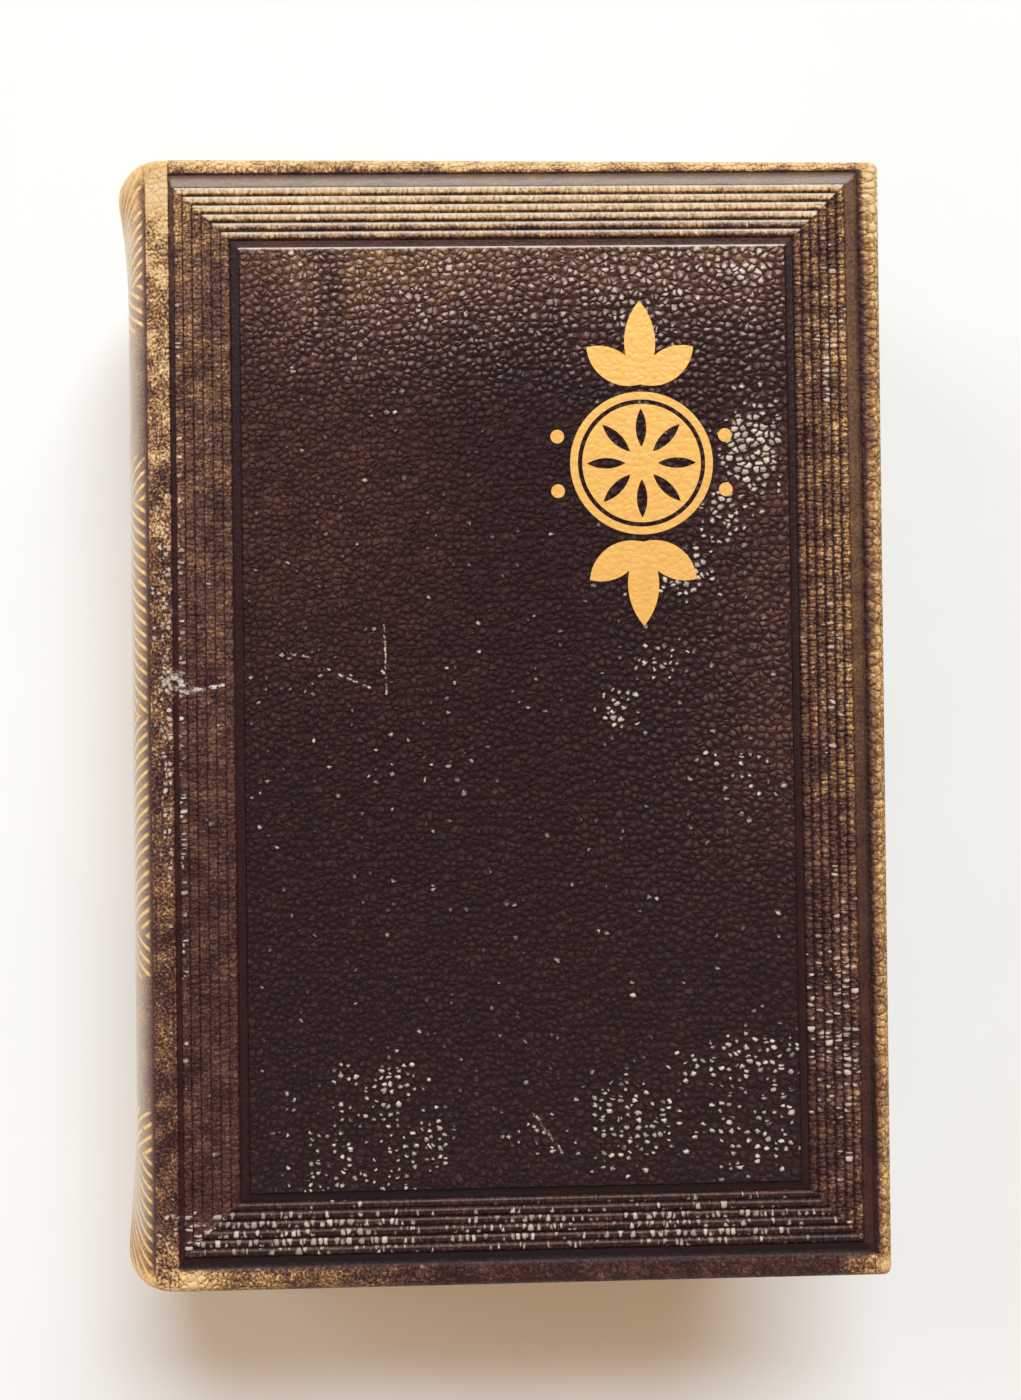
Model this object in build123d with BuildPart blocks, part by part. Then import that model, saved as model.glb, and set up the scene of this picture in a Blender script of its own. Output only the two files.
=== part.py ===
from build123d import *
import os
from math import atan2, cos, degrees, pi

# A thick used book, fully bound in leather, lying closed on its back cover.
# Millimetres. X runs from the spine to the fore-edge, Y from the tail to the head, Z up
# through the leaves. The origin is on the table, under the middle of the book.

# Overall sizes
cover_height = 180.0  # tail edge to head edge of the covers
board_reach = 113.5  # joint to the fore-edge of a cover
spine_depth = 11.0  # joint to the middle of the rounded spine
book_thickness = 40.0  # outside of the back cover to outside of the front cover
overrun = 1.0  # how far a cutting shape reaches past what it cuts

# Materials in the binding, by thickness
leather = 0.9  # hide over the boards and the spine
pared_leather = 0.5  # the same hide thinned where it is turned in over a board
board = 1.8  # cover board
endpaper = 0.25  # pastedown or flyleaf
spine_card = 0.6  # card that stiffens the back of the leather
mull = 0.3  # cloth glued over the folds of the leaves
gilding = 0.05  # foil of the stamped ornament

# Cover edges
corner_radius = 2.0  # rounding of the fore-edge corners, seen from above
outer_edge_radius = 1.4  # rounding of the leather over the outside edges
inner_edge_radius = 0.6  # rounding where the leather turns in
turn_in_width = 6.0  # leather border left showing round the pastedown
board_setback = 1.5  # joint to the board's near edge
pastedown_clearance = 0.3  # between the pastedown and the turned-in leather
joint_clearance = 0.2  # slit at a joint, and between a closed cover and the leaves

# Blind-tooled frame pressed into each cover
frame_fore_margin = 2.9  # plain leather outside the frame at the fore-edge
frame_head_margin = 2.5
frame_tail_margin = 3.3
frame_past_joint = 0.8  # how far the outer groove reaches over the joint
outer_groove_width = 1.9
inner_groove_width = 1.5
wide_groove_depth = 0.35
ridge_count = 6
ridge_pitch = 1.43
fine_groove_width = 0.5  # between two ridges
fine_groove_depth = 0.3
groove_taper = 24.0  # degrees that a groove's walls lean

# Rounded spine
shoulder_radius_share = 0.6  # of the spine's depth, where the leather rolls over beside the joint
shoulder_drop = 0.1  # shoulder below the face of the cover
shoulder_flat = 1.4  # level leather between the joint and the roll
joint_groove_width = 0.7  # the frame's outer groove, on the spine's side of the joint
head_flare = 1.6  # how far the worn head of the spine stands out
tail_flare = 1.2
flare_length = 28.0  # part of the spine that flares at each end
flare_steps = 3
cap_radius = 3.6  # rounding of the leather over the head and the tail
cap_width = 3.9  # rolled leather at the head and the tail

# Leaves
square = 3.0  # how far the covers stand out past the leaves
fore_edge_hollow = 5.0  # depth of the hollow that the rounding leaves at the fore-edge
shoulder_setback = 1.0  # joint to the backed shoulder of the leaves
leaf_setback = 0.3  # joint to the near edge of the flat leaves
band_width = 1.8  # headband, seen from the head
band_height = 2.0
band_chamfer = 0.5  # softened edges of a headband

# Stamped ornament on the front cover: a round flower between two fans of leaves
ornament_from_joint = 75.0
ornament_from_head = 49.5
flower_radius = 11.5
flower_ring_radius = 9.9  # middle of the bare ring inside the flower's rim
flower_ring_width = 0.7
petal_count = 8
petal_start_radius = 2.6  # bare slot between two petals
petal_slot_length = 6.2
petal_slot_width = 1.7
fan_gap = 1.2  # flower to the root of a fan
fan_leaf_lengths = (10.5, 13.5, 10.5)
fan_leaf_width = 5.0
fan_spread = 55.0  # degrees between two leaves of a fan
berry_radius = 1.1
berry_ring_radius = 14.2
berry_angles = (-18.0, 18.0)  # degrees off the level, on each side of the flower

# Places that follow from the sizes
overall_width = board_reach + spine_depth + max(head_flare, tail_flare)
fore_x = overall_width / 2
joint_x = fore_x - board_reach
cover_edge_x = joint_x + joint_clearance / 2
spine_edge_x = joint_x - joint_clearance / 2
shoulder_radius = shoulder_radius_share * spine_depth
backing_x = joint_x - shoulder_setback
cover_thickness = leather + board + pared_leather
cover_inside = book_thickness - cover_thickness
board_inside = cover_inside + pared_leather
leaf_half_height = cover_height / 2 - square
leaf_fore_x = fore_x - square
leaf_half_thickness = book_thickness / 2 - cover_thickness - joint_clearance - endpaper
middle_plane = Plane.XY.offset(book_thickness / 2)


def cross_plane(y):
    """The plane across the book at height y, its X axis at the middle of the thickness."""
    return Plane(origin=(0, y, book_thickness / 2), x_dir=(1, 0, 0), z_dir=(0, -1, 0))


def spine_section(inset, flare, chord_x):
    """D-shaped section of the spine, inset from the outside of the leather and closed at chord_x.

    Two shoulder arcs run into one flatter back arc. All insets share the same centres,
    so the layers of the spine lie face to face.
    """
    shoulder_x = spine_edge_x - shoulder_flat
    shoulder_z = book_thickness / 2 - shoulder_drop - shoulder_radius
    reach = shoulder_x - (joint_x - spine_depth - flare)
    back_radius = (reach**2 + shoulder_z**2 - shoulder_radius**2) / (2 * (reach - shoulder_radius))
    back_x = shoulder_x - reach + back_radius
    shoulder_turn = 90 - degrees(atan2(shoulder_z, back_x - shoulder_x))
    top = shoulder_z + shoulder_radius - inset
    with BuildSketch() as section:
        with BuildLine():
            Line((chord_x, top), (shoulder_x, top))
            CenterArc((shoulder_x, shoulder_z), shoulder_radius - inset, 90, shoulder_turn)
            CenterArc((back_x, 0), back_radius - inset, 90 + shoulder_turn, 2 * (90 - shoulder_turn))
            CenterArc((shoulder_x, -shoulder_z), shoulder_radius - inset, 270 - shoulder_turn, shoulder_turn)
            Line((shoulder_x, -top), (chord_x, -top))
            Line((chord_x, -top), (chord_x, top))
        make_face()
    return section.sketch_local


def flare_at(from_end, end_flare):
    """How far the spine stands out at a distance from its head or tail."""
    travel = min((flare_length - from_end) / (flare_length - cap_radius), 1)
    return end_flare * (1 - cos(pi * travel)) / 2


def cover_sheet(near_x, inset):
    """Outline of one layer of a cover, from near_x to inset inside the cover's free edges."""
    far_x = fore_x - inset
    with BuildSketch() as sheet:
        with Locations(((near_x + far_x) / 2, 0)):
            Rectangle(far_x - near_x, cover_height - 2 * inset)
        if inset < corner_radius:
            fillet(sheet.vertices().group_by(Axis.X)[-1], corner_radius - inset)
    return sheet.sketch_local


def frame_ring(offset, width):
    """One rectangular line of the tooled frame, offset inwards from the frame's outer edge."""
    left = joint_x - frame_past_joint + offset
    right = fore_x - frame_fore_margin - offset
    top = cover_height / 2 - frame_head_margin - offset
    bottom = -cover_height / 2 + frame_tail_margin + offset
    with BuildSketch() as ring:
        with Locations(((left + right) / 2, (top + bottom) / 2)):
            Rectangle(right - left, top - bottom)
            Rectangle(right - left - 2 * width, top - bottom - 2 * width, mode=Mode.SUBTRACT)
    return ring.sketch_local


def leaf_shape(length, width):
    """A pointed leaf that lies along X from the origin, between two equal arcs."""
    with BuildSketch() as leaf:
        with BuildLine():
            ThreePointArc((0, 0), (length / 2, width / 2), (length, 0))
            ThreePointArc((length, 0), (length / 2, -width / 2), (0, 0))
        make_face()
    return leaf.sketch_local


# Leaves: one block, rounded and backed at the spine, hollow at the fore-edge
core_inset = leather + spine_card + mull
with BuildPart() as text_block:
    with BuildSketch(cross_plane(0)) as leaves_section:
        add(spine_section(core_inset, 0, backing_x))
        shoulder_top = leaves_section.vertices().sort_by(Axis.Y)[-1].Y
        with BuildLine():
            fore_corner = (leaf_fore_x, leaf_half_thickness)
            root_corner = (joint_x + leaf_setback, leaf_half_thickness)
            upper = Polyline(fore_corner, root_corner, (backing_x, shoulder_top), (backing_x, 0))
            mirror(upper, about=Plane.XZ)
            ThreePointArc(fore_corner, (leaf_fore_x - fore_edge_hollow, 0), (leaf_fore_x, -leaf_half_thickness))
        make_face()
    extrude(amount=leaf_half_height, both=True)

# Mull and card, glued one over the other on the back of the leaves
with BuildPart() as spine_mull:
    with BuildSketch(cross_plane(0)):
        add(spine_section(core_inset - mull, 0, backing_x))
        add(spine_section(core_inset, 0, backing_x + overrun), mode=Mode.SUBTRACT)
    extrude(amount=leaf_half_height, both=True)

with BuildPart() as spine_stiffener:
    with BuildSketch(cross_plane(0)):
        add(spine_section(leather, 0, backing_x))
        add(spine_section(leather + spine_card, 0, backing_x + overrun), mode=Mode.SUBTRACT)
    extrude(amount=leaf_half_height, both=True)

# Spine leather: a rounded back that flares at both ends and rolls over the headbands
with BuildPart() as spine_leather:
    straight_half = cover_height / 2 - flare_length
    with BuildSketch(cross_plane(0)):
        add(spine_section(0, 0, spine_edge_x))
    extrude(amount=straight_half, both=True)
    for end, end_flare in ((1, head_flare), (-1, tail_flare)):
        for step in range(flare_steps + 1):
            from_end = flare_length * (1 - step / flare_steps)
            with BuildSketch(cross_plane(end * (cover_height / 2 - from_end))):
                add(spine_section(0, flare_at(from_end, end_flare), spine_edge_x))
        loft()
    for end_face in spine_leather.faces().filter_by(Axis.Y):
        fillet(end_face.edges().sort_by(Axis.X)[:-1], cap_radius)
    with BuildSketch(cross_plane(0)):
        add(spine_section(leather, 0, joint_x + overrun))
    extrude(amount=leaf_half_height, both=True, mode=Mode.SUBTRACT)
    with BuildSketch(cross_plane(0)):
        add(spine_section(cap_width, 0, joint_x + overrun))
    extrude(amount=cover_height / 2 + overrun, both=True, mode=Mode.SUBTRACT)
    groove_head = cover_height / 2 - frame_head_margin
    groove_tail = frame_tail_margin - cover_height / 2
    for floor_z, cut in (
        (book_thickness - wide_groove_depth, wide_groove_depth + overrun),
        (wide_groove_depth, -wide_groove_depth - overrun),
    ):
        with BuildSketch(Plane.XY.offset(floor_z)):
            with Locations((joint_x, (groove_head + groove_tail) / 2)):
                Rectangle(2 * joint_groove_width, groove_head - groove_tail)
        extrude(amount=cut, mode=Mode.SUBTRACT)

# Headbands: rolls that stand on the head and the tail of the leaves, against the rolled leather
with BuildSketch(cross_plane(leaf_half_height)) as band_core:
    add(spine_section(cap_width + band_width / 2, 0, backing_x))

with BuildPart() as head_band:
    with BuildLine() as band_path:
        add(band_core.sketch.edges().sort_by(Axis.X)[:-1])
    with BuildSketch(Plane(origin=band_path.line @ 0, x_dir=(0, 0, 1), z_dir=band_path.line % 0)):
        with BuildLine():
            Polyline(
                (-band_width / 2, 0),
                (band_width / 2, 0),
                (band_width / 2, band_height - band_chamfer),
                (band_width / 2 - band_chamfer, band_height),
                (band_chamfer - band_width / 2, band_height),
                (-band_width / 2, band_height - band_chamfer),
                close=True,
            )
        make_face()
    sweep()

with BuildPart() as tail_band:
    mirror(head_band.part, about=Plane.XZ)

# Cover leather: drawn over the board, turned in round three edges, open towards the joint
with BuildPart() as cover_leather:
    with BuildSketch(Plane.XY.offset(cover_inside)):
        add(cover_sheet(cover_edge_x, 0))
    extrude(amount=cover_thickness)
    fillet(cover_leather.faces().sort_by(Axis.Z)[-1].edges().sort_by(Axis.X)[1:], outer_edge_radius)
    fillet(cover_leather.faces().sort_by(Axis.Z)[0].edges().sort_by(Axis.X)[1:], inner_edge_radius)
    with BuildSketch(Plane.XY.offset(board_inside)):
        add(cover_sheet(joint_x - overrun, leather))
    extrude(amount=board, mode=Mode.SUBTRACT)
    with BuildSketch(Plane.XY.offset(board_inside)):
        add(cover_sheet(joint_x - overrun, turn_in_width))
    extrude(amount=-pared_leather - overrun, mode=Mode.SUBTRACT)
    ridges_width = ridge_count * ridge_pitch
    for offset, width in (
        (0, outer_groove_width),
        (outer_groove_width + ridges_width, inner_groove_width),
    ):
        with BuildSketch(Plane.XY.offset(book_thickness)):
            add(frame_ring(offset, width))
        extrude(amount=-wide_groove_depth, taper=groove_taper, mode=Mode.SUBTRACT)
    for ridge in range(1, ridge_count):
        with BuildSketch(Plane.XY.offset(book_thickness)):
            add(frame_ring(outer_groove_width + ridge * ridge_pitch - fine_groove_width / 2, fine_groove_width))
        extrude(amount=-fine_groove_depth, taper=groove_taper, mode=Mode.SUBTRACT)

with BuildPart() as front_cover_leather:
    add(cover_leather.part)

with BuildPart() as back_cover_leather:
    mirror(cover_leather.part, about=middle_plane)

# Boards and pastedowns inside the covers
with BuildPart() as front_board:
    with BuildSketch(Plane.XY.offset(board_inside)):
        add(cover_sheet(joint_x + board_setback, leather))
    extrude(amount=board)

with BuildPart() as back_board:
    mirror(front_board.part, about=middle_plane)

with BuildPart() as front_pastedown:
    with BuildSketch(Plane.XY.offset(board_inside)):
        add(cover_sheet(joint_x + board_setback, turn_in_width + pastedown_clearance))
    extrude(amount=-endpaper)

with BuildPart() as back_pastedown:
    mirror(front_pastedown.part, about=middle_plane)

# Flyleaves, on the first and the last leaf
with BuildPart() as front_flyleaf:
    with BuildSketch(middle_plane.offset(leaf_half_thickness)):
        with Locations(((joint_x + leaf_setback + leaf_fore_x) / 2, 0)):
            Rectangle(leaf_fore_x - joint_x - leaf_setback, 2 * leaf_half_height)
    extrude(amount=endpaper)

with BuildPart() as back_flyleaf:
    mirror(front_flyleaf.part, about=middle_plane)

# Gilt ornament stamped near the head of the front cover
with BuildPart() as front_ornament:
    ornament_plane = Plane(
        origin=(joint_x + ornament_from_joint, cover_height / 2 - ornament_from_head, book_thickness)
    )
    with BuildSketch(ornament_plane):
        Circle(flower_radius)
        Circle(flower_ring_radius + flower_ring_width / 2, mode=Mode.SUBTRACT)
        Circle(flower_ring_radius - flower_ring_width / 2)
        with PolarLocations(petal_start_radius, petal_count):
            add(leaf_shape(petal_slot_length, petal_slot_width), mode=Mode.SUBTRACT)
        for side in (1, -1):
            with Locations((0, side * (flower_radius + fan_gap))):
                for index, length in enumerate(fan_leaf_lengths):
                    lean = (index - (len(fan_leaf_lengths) - 1) / 2) * fan_spread
                    add(leaf_shape(length, fan_leaf_width), rotation=side * 90 + lean)
            for angle in berry_angles:
                with PolarLocations(berry_ring_radius, 1, start_angle=90 - side * 90 + angle):
                    Circle(berry_radius)
    extrude(amount=gilding)

os.makedirs("parts", exist_ok=True)
pieces = {
    "text_block": text_block,
    "spine_mull": spine_mull,
    "spine_stiffener": spine_stiffener,
    "spine_leather": spine_leather,
    "head_band": head_band,
    "tail_band": tail_band,
    "front_flyleaf": front_flyleaf,
    "back_flyleaf": back_flyleaf,
    "front_cover_leather": front_cover_leather,
    "front_board": front_board,
    "front_pastedown": front_pastedown,
    "front_ornament": front_ornament,
    "back_cover_leather": back_cover_leather,
    "back_board": back_board,
    "back_pastedown": back_pastedown,
}
for name, piece in pieces.items():
    piece.part.label = name
    export_step(piece.part, f"parts/{name}.step")
    print(name, len(piece.part.solids()), round(piece.part.volume, 1))
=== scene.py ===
# %% [markdown]
# # A used leather-bound book
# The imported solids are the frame: leaves, boards and hinged covers, all in metres.
# This lesson dresses them as the worn book that lies on a pale table, front cover up.

# %% Load the frame
import math

import bpy
import numpy as np
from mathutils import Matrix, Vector


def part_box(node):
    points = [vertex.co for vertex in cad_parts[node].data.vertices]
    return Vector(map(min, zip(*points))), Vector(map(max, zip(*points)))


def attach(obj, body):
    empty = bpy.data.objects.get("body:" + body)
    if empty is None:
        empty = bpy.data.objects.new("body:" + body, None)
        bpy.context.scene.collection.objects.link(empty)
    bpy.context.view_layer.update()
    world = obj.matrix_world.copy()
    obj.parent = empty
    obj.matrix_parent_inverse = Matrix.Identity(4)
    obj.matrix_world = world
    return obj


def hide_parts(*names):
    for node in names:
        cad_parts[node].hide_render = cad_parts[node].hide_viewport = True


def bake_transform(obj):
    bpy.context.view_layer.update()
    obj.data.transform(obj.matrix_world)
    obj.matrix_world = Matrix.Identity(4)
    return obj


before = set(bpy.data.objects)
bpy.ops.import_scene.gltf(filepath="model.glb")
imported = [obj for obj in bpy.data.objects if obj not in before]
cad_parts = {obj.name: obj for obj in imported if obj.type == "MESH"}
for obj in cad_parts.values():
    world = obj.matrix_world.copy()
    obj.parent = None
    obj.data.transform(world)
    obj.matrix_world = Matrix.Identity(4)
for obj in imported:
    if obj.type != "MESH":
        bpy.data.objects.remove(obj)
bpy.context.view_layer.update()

# %% [markdown]
# ## Sizes
# A bookbinder thinks in millimetres, so the shapes are worked out in millimetres and only
# turned into metres when a mesh is made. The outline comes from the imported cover, and the
# binder's own measures, such as the pitch of the pressed lines, are written down here.

# %% Sizes of the binding, in millimetres
MM = 0.001


def node_box(name):
    """Lowest and highest corner of a solid, in millimetres."""
    return [np.array(corner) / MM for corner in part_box(name)]


cover_low, cover_high = node_box("front_cover_leather")
joint_x = cover_low[0] - 0.1
fore_x, head_y, top_z = cover_high
middle_z = top_z / 2
cover_thickness = cover_high[2] - cover_low[2]

outer_groove, inner_groove = 1.9, 1.5
ridge_pitch, ridge_count = 1.43, 6
ridges_end = outer_groove + ridge_pitch * ridge_count
frame_width = ridges_end + inner_groove
wide_depth, fine_depth = 0.38, 0.34
frame_right = fore_x - 2.9
frame_head = head_y - 2.5
frame_tail = -head_y + 3.3

edge_radius, turned_edge_radius, turn_in = 1.4, 0.6, 6.0
spine_depth, shoulder_flat, shoulder_drop = 11.0, 1.4, 0.1
shoulder_radius = 0.6 * spine_depth
flare_length = 23.0
head_flare, tail_flare = (2.0, 2.0), (2.0, 1.0)
cap_radius, cap_wall = 1.8, 3.8
hide_thickness = 0.45
print("cover", round(fore_x - joint_x, 2), "x", round(2 * head_y, 2), "mm")
print("book", round(top_z, 2), "mm thick")


# %% [markdown]
# ## Small helpers
# Every smooth change in this book, from a groove's wall to the edge of a worn patch, is the
# same soft step. Meshes are made from lists of points and faces, and carry extra numbers on
# their points: where the point lay on the flat hide, how worn it is, and where light or shade
# is painted on it. Materials read those numbers, so the wear stays in place when a cover opens.

# %% Soft step and mesh maker
def soft(value, low, high):
    """0 below low, 1 above high, and a smooth rise between."""
    share = np.clip((np.asarray(value, float) - low) / (high - low), 0, 1)
    return share * share * (3 - 2 * share)


def between(value, low, high, edge):
    """1 between low and high, with soft edges."""
    return soft(value, low - edge, low + edge) * (1 - soft(value, high - edge, high + edge))


def make_piece(name, points, faces, numbers=None):
    """A smooth mesh object from points in millimetres, with named numbers on its points."""
    mesh = bpy.data.meshes.new(name)
    mesh.from_pydata((np.asarray(points) * MM).tolist(), [], faces)
    for title, values in (numbers or {}).items():
        values = np.asarray(values, np.float32)
        kind, field = ("FLOAT_VECTOR", "vector") if values.ndim == 2 else ("FLOAT", "value")
        mesh.attributes.new(title, kind, "POINT").data.foreach_set(field, values.ravel())
    mesh.shade_smooth()
    piece = bpy.data.objects.new(name, mesh)
    bpy.context.collection.objects.link(piece)
    return piece


def thicken(piece, thickness, offset=-1.0):
    """Weld the points that meet, then give the sheet its thickness."""
    weld = piece.modifiers.new("weld", "WELD")
    weld.merge_threshold = 0.004 * MM
    thick = piece.modifiers.new("thickness", "SOLIDIFY")
    thick.thickness, thick.offset = thickness * MM, offset
    made = piece.evaluated_get(bpy.context.evaluated_depsgraph_get())
    solid = bpy.data.meshes.new_from_object(made)
    piece.modifiers.clear()
    piece.data = solid
    triangles = sum(len(face.vertices) - 2 for face in solid.polygons)
    print(piece.name, len(solid.vertices), "points,", triangles, "triangles")
    return piece


def grid_faces(rows, columns, first=0, closed=False):
    """Quads between neighbouring points of a grid that is stored row by row."""
    wrap = columns if closed else columns - 1
    return [(first + r * columns + c, first + r * columns + (c + 1) % columns,
             first + (r + 1) * columns + (c + 1) % columns, first + (r + 1) * columns + c)
            for r in range(rows - 1) for c in range(wrap)]


# %% [markdown]
# ## The back of the spine
# In section the spine is three arcs: a flat back arc and a tighter roll at each joint. At head
# and tail the old leather has flared outwards, where fingers have pulled it off the shelf.
# The same construction as in the solids is used, so the dressed spine lies on the solid one.

# %% Spine section
def spine_curve(flare, inset=0.0, count=160):
    """Points, outward normals and run lengths round the spine, from front joint to back joint."""
    edge_x = joint_x - 0.1
    shoulder_x = edge_x - shoulder_flat
    shoulder_z = middle_z - shoulder_drop - shoulder_radius
    reach = shoulder_x - (joint_x - spine_depth - flare)
    back_radius = (reach**2 + shoulder_z**2 - shoulder_radius**2) / (2 * (reach - shoulder_radius))
    back_x = shoulder_x - reach + back_radius
    turn = math.pi / 2 - math.atan2(shoulder_z, back_x - shoulder_x)
    flat = np.linspace(edge_x, shoulder_x, 8, endpoint=False)
    parts = [np.column_stack([flat, np.full(8, shoulder_z + shoulder_radius), np.zeros(8), np.ones(8)])]
    roll = (shoulder_x, shoulder_z, shoulder_radius, math.pi / 2, math.pi / 2 + turn)
    back = (back_x, 0, back_radius, math.pi / 2 + turn, math.pi)
    for centre_x, centre_z, radius, start, end in (roll, back):
        angle = np.linspace(start, end, count, endpoint=end == math.pi)
        across, up = np.cos(angle), np.sin(angle)
        parts.append(np.column_stack([centre_x + radius * across, centre_z + radius * up, across, up]))
    front_half = np.concatenate(parts)
    curve = np.concatenate([front_half, front_half[-2::-1] * np.array([1, -1, 1, -1])])
    curve[:, :2] -= inset * curve[:, 2:]
    steps = np.hypot(*np.diff(curve[:, :2], axis=0).T)
    return curve, np.concatenate([[0], np.cumsum(steps)])


def flare_at(y):
    """How far the spine stands out at a height."""
    travel = (abs(y) - (head_y - flare_length)) / (flare_length - cap_radius)
    travel = min(max(travel, 0), 1)
    reach, power = head_flare if y > 0 else tail_flare
    return reach * travel**power


spine_run = spine_curve(0)[1][-1]
border_run, border_width, border_depth = 4.2, 0.28, 0.14
print("leather round the spine:", round(spine_run, 1), "mm")


# %% [markdown]
# ## The pressed frame
# A hot brass tool pressed a frame of nested lines into the damp leather: a wide groove, six
# ridges and another wide groove, mitred at the corners. At the joint the wide groove narrows
# to the crease that the cover folds along. The frame could be a bump in the material, but the
# light that rakes over the ridges needs real slopes, so the lines are in the mesh. One
# function gives the depth at any distance in from the frame's edge, and the mesh lines are
# placed where that profile bends.

# %% Profile of the pressed frame
joint_knots_x = joint_x + np.array([-0.3, 0.5, 9.45, 11.1, 211.1])
joint_knots_inward = np.array([0, outer_groove, ridges_end, frame_width, frame_width + 200])
outside_frame = -9.0
mitre_width = 0.02


def frame_inward(x, y):
    """Distance in from the frame's outer edge, as the tool's profile counts it."""
    from_joint = np.interp(x, joint_knots_x, joint_knots_inward, left=outside_frame)
    return np.min([from_joint, frame_right - x, frame_head - y, y - frame_tail], axis=0)


def frame_sides(x, y, inward):
    """Masks of the points that are nearest to each side of the frame."""
    away = {"head": frame_head - y, "tail": y - frame_tail, "fore": frame_right - x}
    sides = {side: distance < inward + mitre_width for side, distance in away.items()}
    sides["joint"] = ~(sides["head"] | sides["tail"] | sides["fore"])
    return sides


def by_side(sides, head, tail, fore, joint):
    """One value for each side of the frame."""
    return np.select([sides["head"], sides["tail"], sides["fore"]], [head, tail, fore], joint)


def ridge_share(inward):
    """0 in the lines between ridges and 1 on a crest."""
    phase = (np.asarray(inward, float) - outer_groove) / ridge_pitch
    return 2 * np.abs(phase - np.round(phase))


def on_ridges(inward):
    """True where the profile is ridged."""
    return (inward > outer_groove) & (inward < ridges_end)


def by_zone(inward, margin, ridges, grooves, panel):
    """One value for the margin, the ridges, the wide grooves and the panel."""
    zones = [inward <= 0, on_ridges(inward), inward < frame_width - 0.1]
    return np.select(zones, [margin, ridges, grooves], panel)


def pressed_depth(inward):
    """Depth of the tooling in millimetres."""
    inward = np.asarray(inward, float)
    outer = soft(inward, 0.0, 0.3) * (inward <= outer_groove)
    inner = (inward >= ridges_end) * (1 - soft(inward, frame_width - 0.35, frame_width))
    ridges = fine_depth * (1 - ridge_share(inward)) ** 3.2 + 0.04
    return wide_depth * (outer + inner) + np.where(on_ridges(inward), ridges, 0)


ridge_lines = [outer_groove + ridge_pitch * (ridge + part)
               for ridge in range(ridge_count) for part in (0, 0.12, 0.3, 0.38, 0.62, 0.7, 0.88)]
inner_lines = [ridges_end + step for step in (0, 0.12, 0.7, 1.14, 1.32, 1.5, 1.62, 1.9)]
frame_lines = np.array([0, 0.14, 0.3, 1.1, 1.75] + ridge_lines + inner_lines)
print("mesh lines across one side of the frame:", len(frame_lines))


# %% [markdown]
# ## Where the book is worn, and painted light
# Wear follows handling. The head edge, the head of the spine and the corners are rubbed down
# to tan suede, the ridges on the head side are nearly as pale, those on the other sides are
# brown, and the panel is lighter towards the head. In some patches only the tips of the
# pebbled grain have lost their colour. Painted light rides on the same numbers: ridge slopes
# that face the window are paler and those facing away darker, and the stamped back of the
# spine has a painted sheen. Each is a number at every point of the hide, 0 or less
# where the leather is fresh and about 1 where it is worn through.
# The patches are ellipses: millimetres from the joint, from the head, half sizes, strength.

# %% Wear on the front and the back
front_patches = (
    (20.0, 17.0, 3.0, 3.5, 0.5), (40.0, 21.0, 15.0, 6.0, 0.3), (78.0, 18.5, 21.0, 5.0, 0.75),
    (92.5, 18.0, 6.5, 5.0, 1.05), (74.0, 25.0, 14.0, 5.0, 0.35), (92.5, 47.5, 6.6, 10.0, 1.2),
    (88.0, 57.0, 4.5, 7.0, 0.85), (81.0, 67.0, 7.0, 5.5, 1.0), (77.5, 81.0, 5.0, 5.5, 0.65),
    (70.5, 89.0, 3.2, 4.2, 1.1), (90.0, 99.0, 8.5, 8.0, 0.35), (90.0, 146.0, 13.0, 7.0, 0.74),
    (72.0, 155.0, 11.0, 10.0, 0.7), (92.0, 157.0, 10.0, 9.0, 0.6), (34.0, 149.0, 7.5, 4.5, 0.75),
    (40.0, 157.0, 3.8, 6.5, 0.85), (27.0, 163.0, 15.0, 3.0, 0.65), (56.0, 157.0, 6.0, 5.0, 0.3),
    (29.0, 154.0, 15.0, 13.0, 0.36),
    (40.0, 97.0, 10.0, 14.0, 0.12), (20.0, 82.0, 9.0, 4.0, 0.2), (20.0, 171.4, 30.0, 5.2, 1.1),
    (82.0, 171.2, 28.0, 5.0, 1.05), (55.0, 171.2, 16.0, 5.0, 0.9), (105.0, 140.0, 5.5, 26.0, 0.85),
    (105.0, 28.0, 5.5, 18.0, 0.5), (105.0, 80.0, 5.5, 24.0, 0.4), (1.0, 90.0, 0.7, 76.0, 1.05),
    (-1.2, 84.0, 1.2, 50.0, 0.95), (-2.6, 76.0, 1.6, 46.0, 0.4),
)
back_patches = (
    (30.0, 40.0, 16.0, 9.0, 0.5), (80.0, 120.0, 18.0, 12.0, 0.45), (62.0, 150.0, 20.0, 7.0, 0.55),
    (1.0, 90.0, 0.8, 76.0, 0.6),
)


def bare_tips(x, y, patches):
    """Share of grain tips that have lost their colour."""
    bare = np.full(x.shape, -0.36)
    for from_joint, from_head, half_width, half_height, strength in patches:
        away = np.hypot((x - joint_x - from_joint) / half_width, (head_y - y - from_head) / half_height)
        bare = np.maximum(bare, strength * (1 - soft(away, 0.35, 1.15)))
    return bare


def panel_tone(along, y):
    """The panel is lighter near the head and towards both sides, and darker in one stain."""
    lighter_near_head = 0.4 * soft(y, 54.0, 76.0) * soft(along, -0.05, 0.28) * (1 - 0.4 * soft(along, 0.74, 0.92))
    lighter_near_joint = 0.17 * soft(y, -20.0, 35.0) * (1 - soft(along, 0.2, 0.55))
    lighter_near_fore = 0.24 * soft(along, 0.66, 0.92) * soft(y, -45.0, 5.0) * (1 - 0.7 * soft(y, 35.0, 60.0))
    stain = np.exp(-(((along - 0.225) / 0.02) ** 2) - ((y - 69.5) / 6.5) ** 2)
    return np.clip(lighter_near_head + lighter_near_joint + lighter_near_fore - 0.3 * stain, 0, 1)


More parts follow.
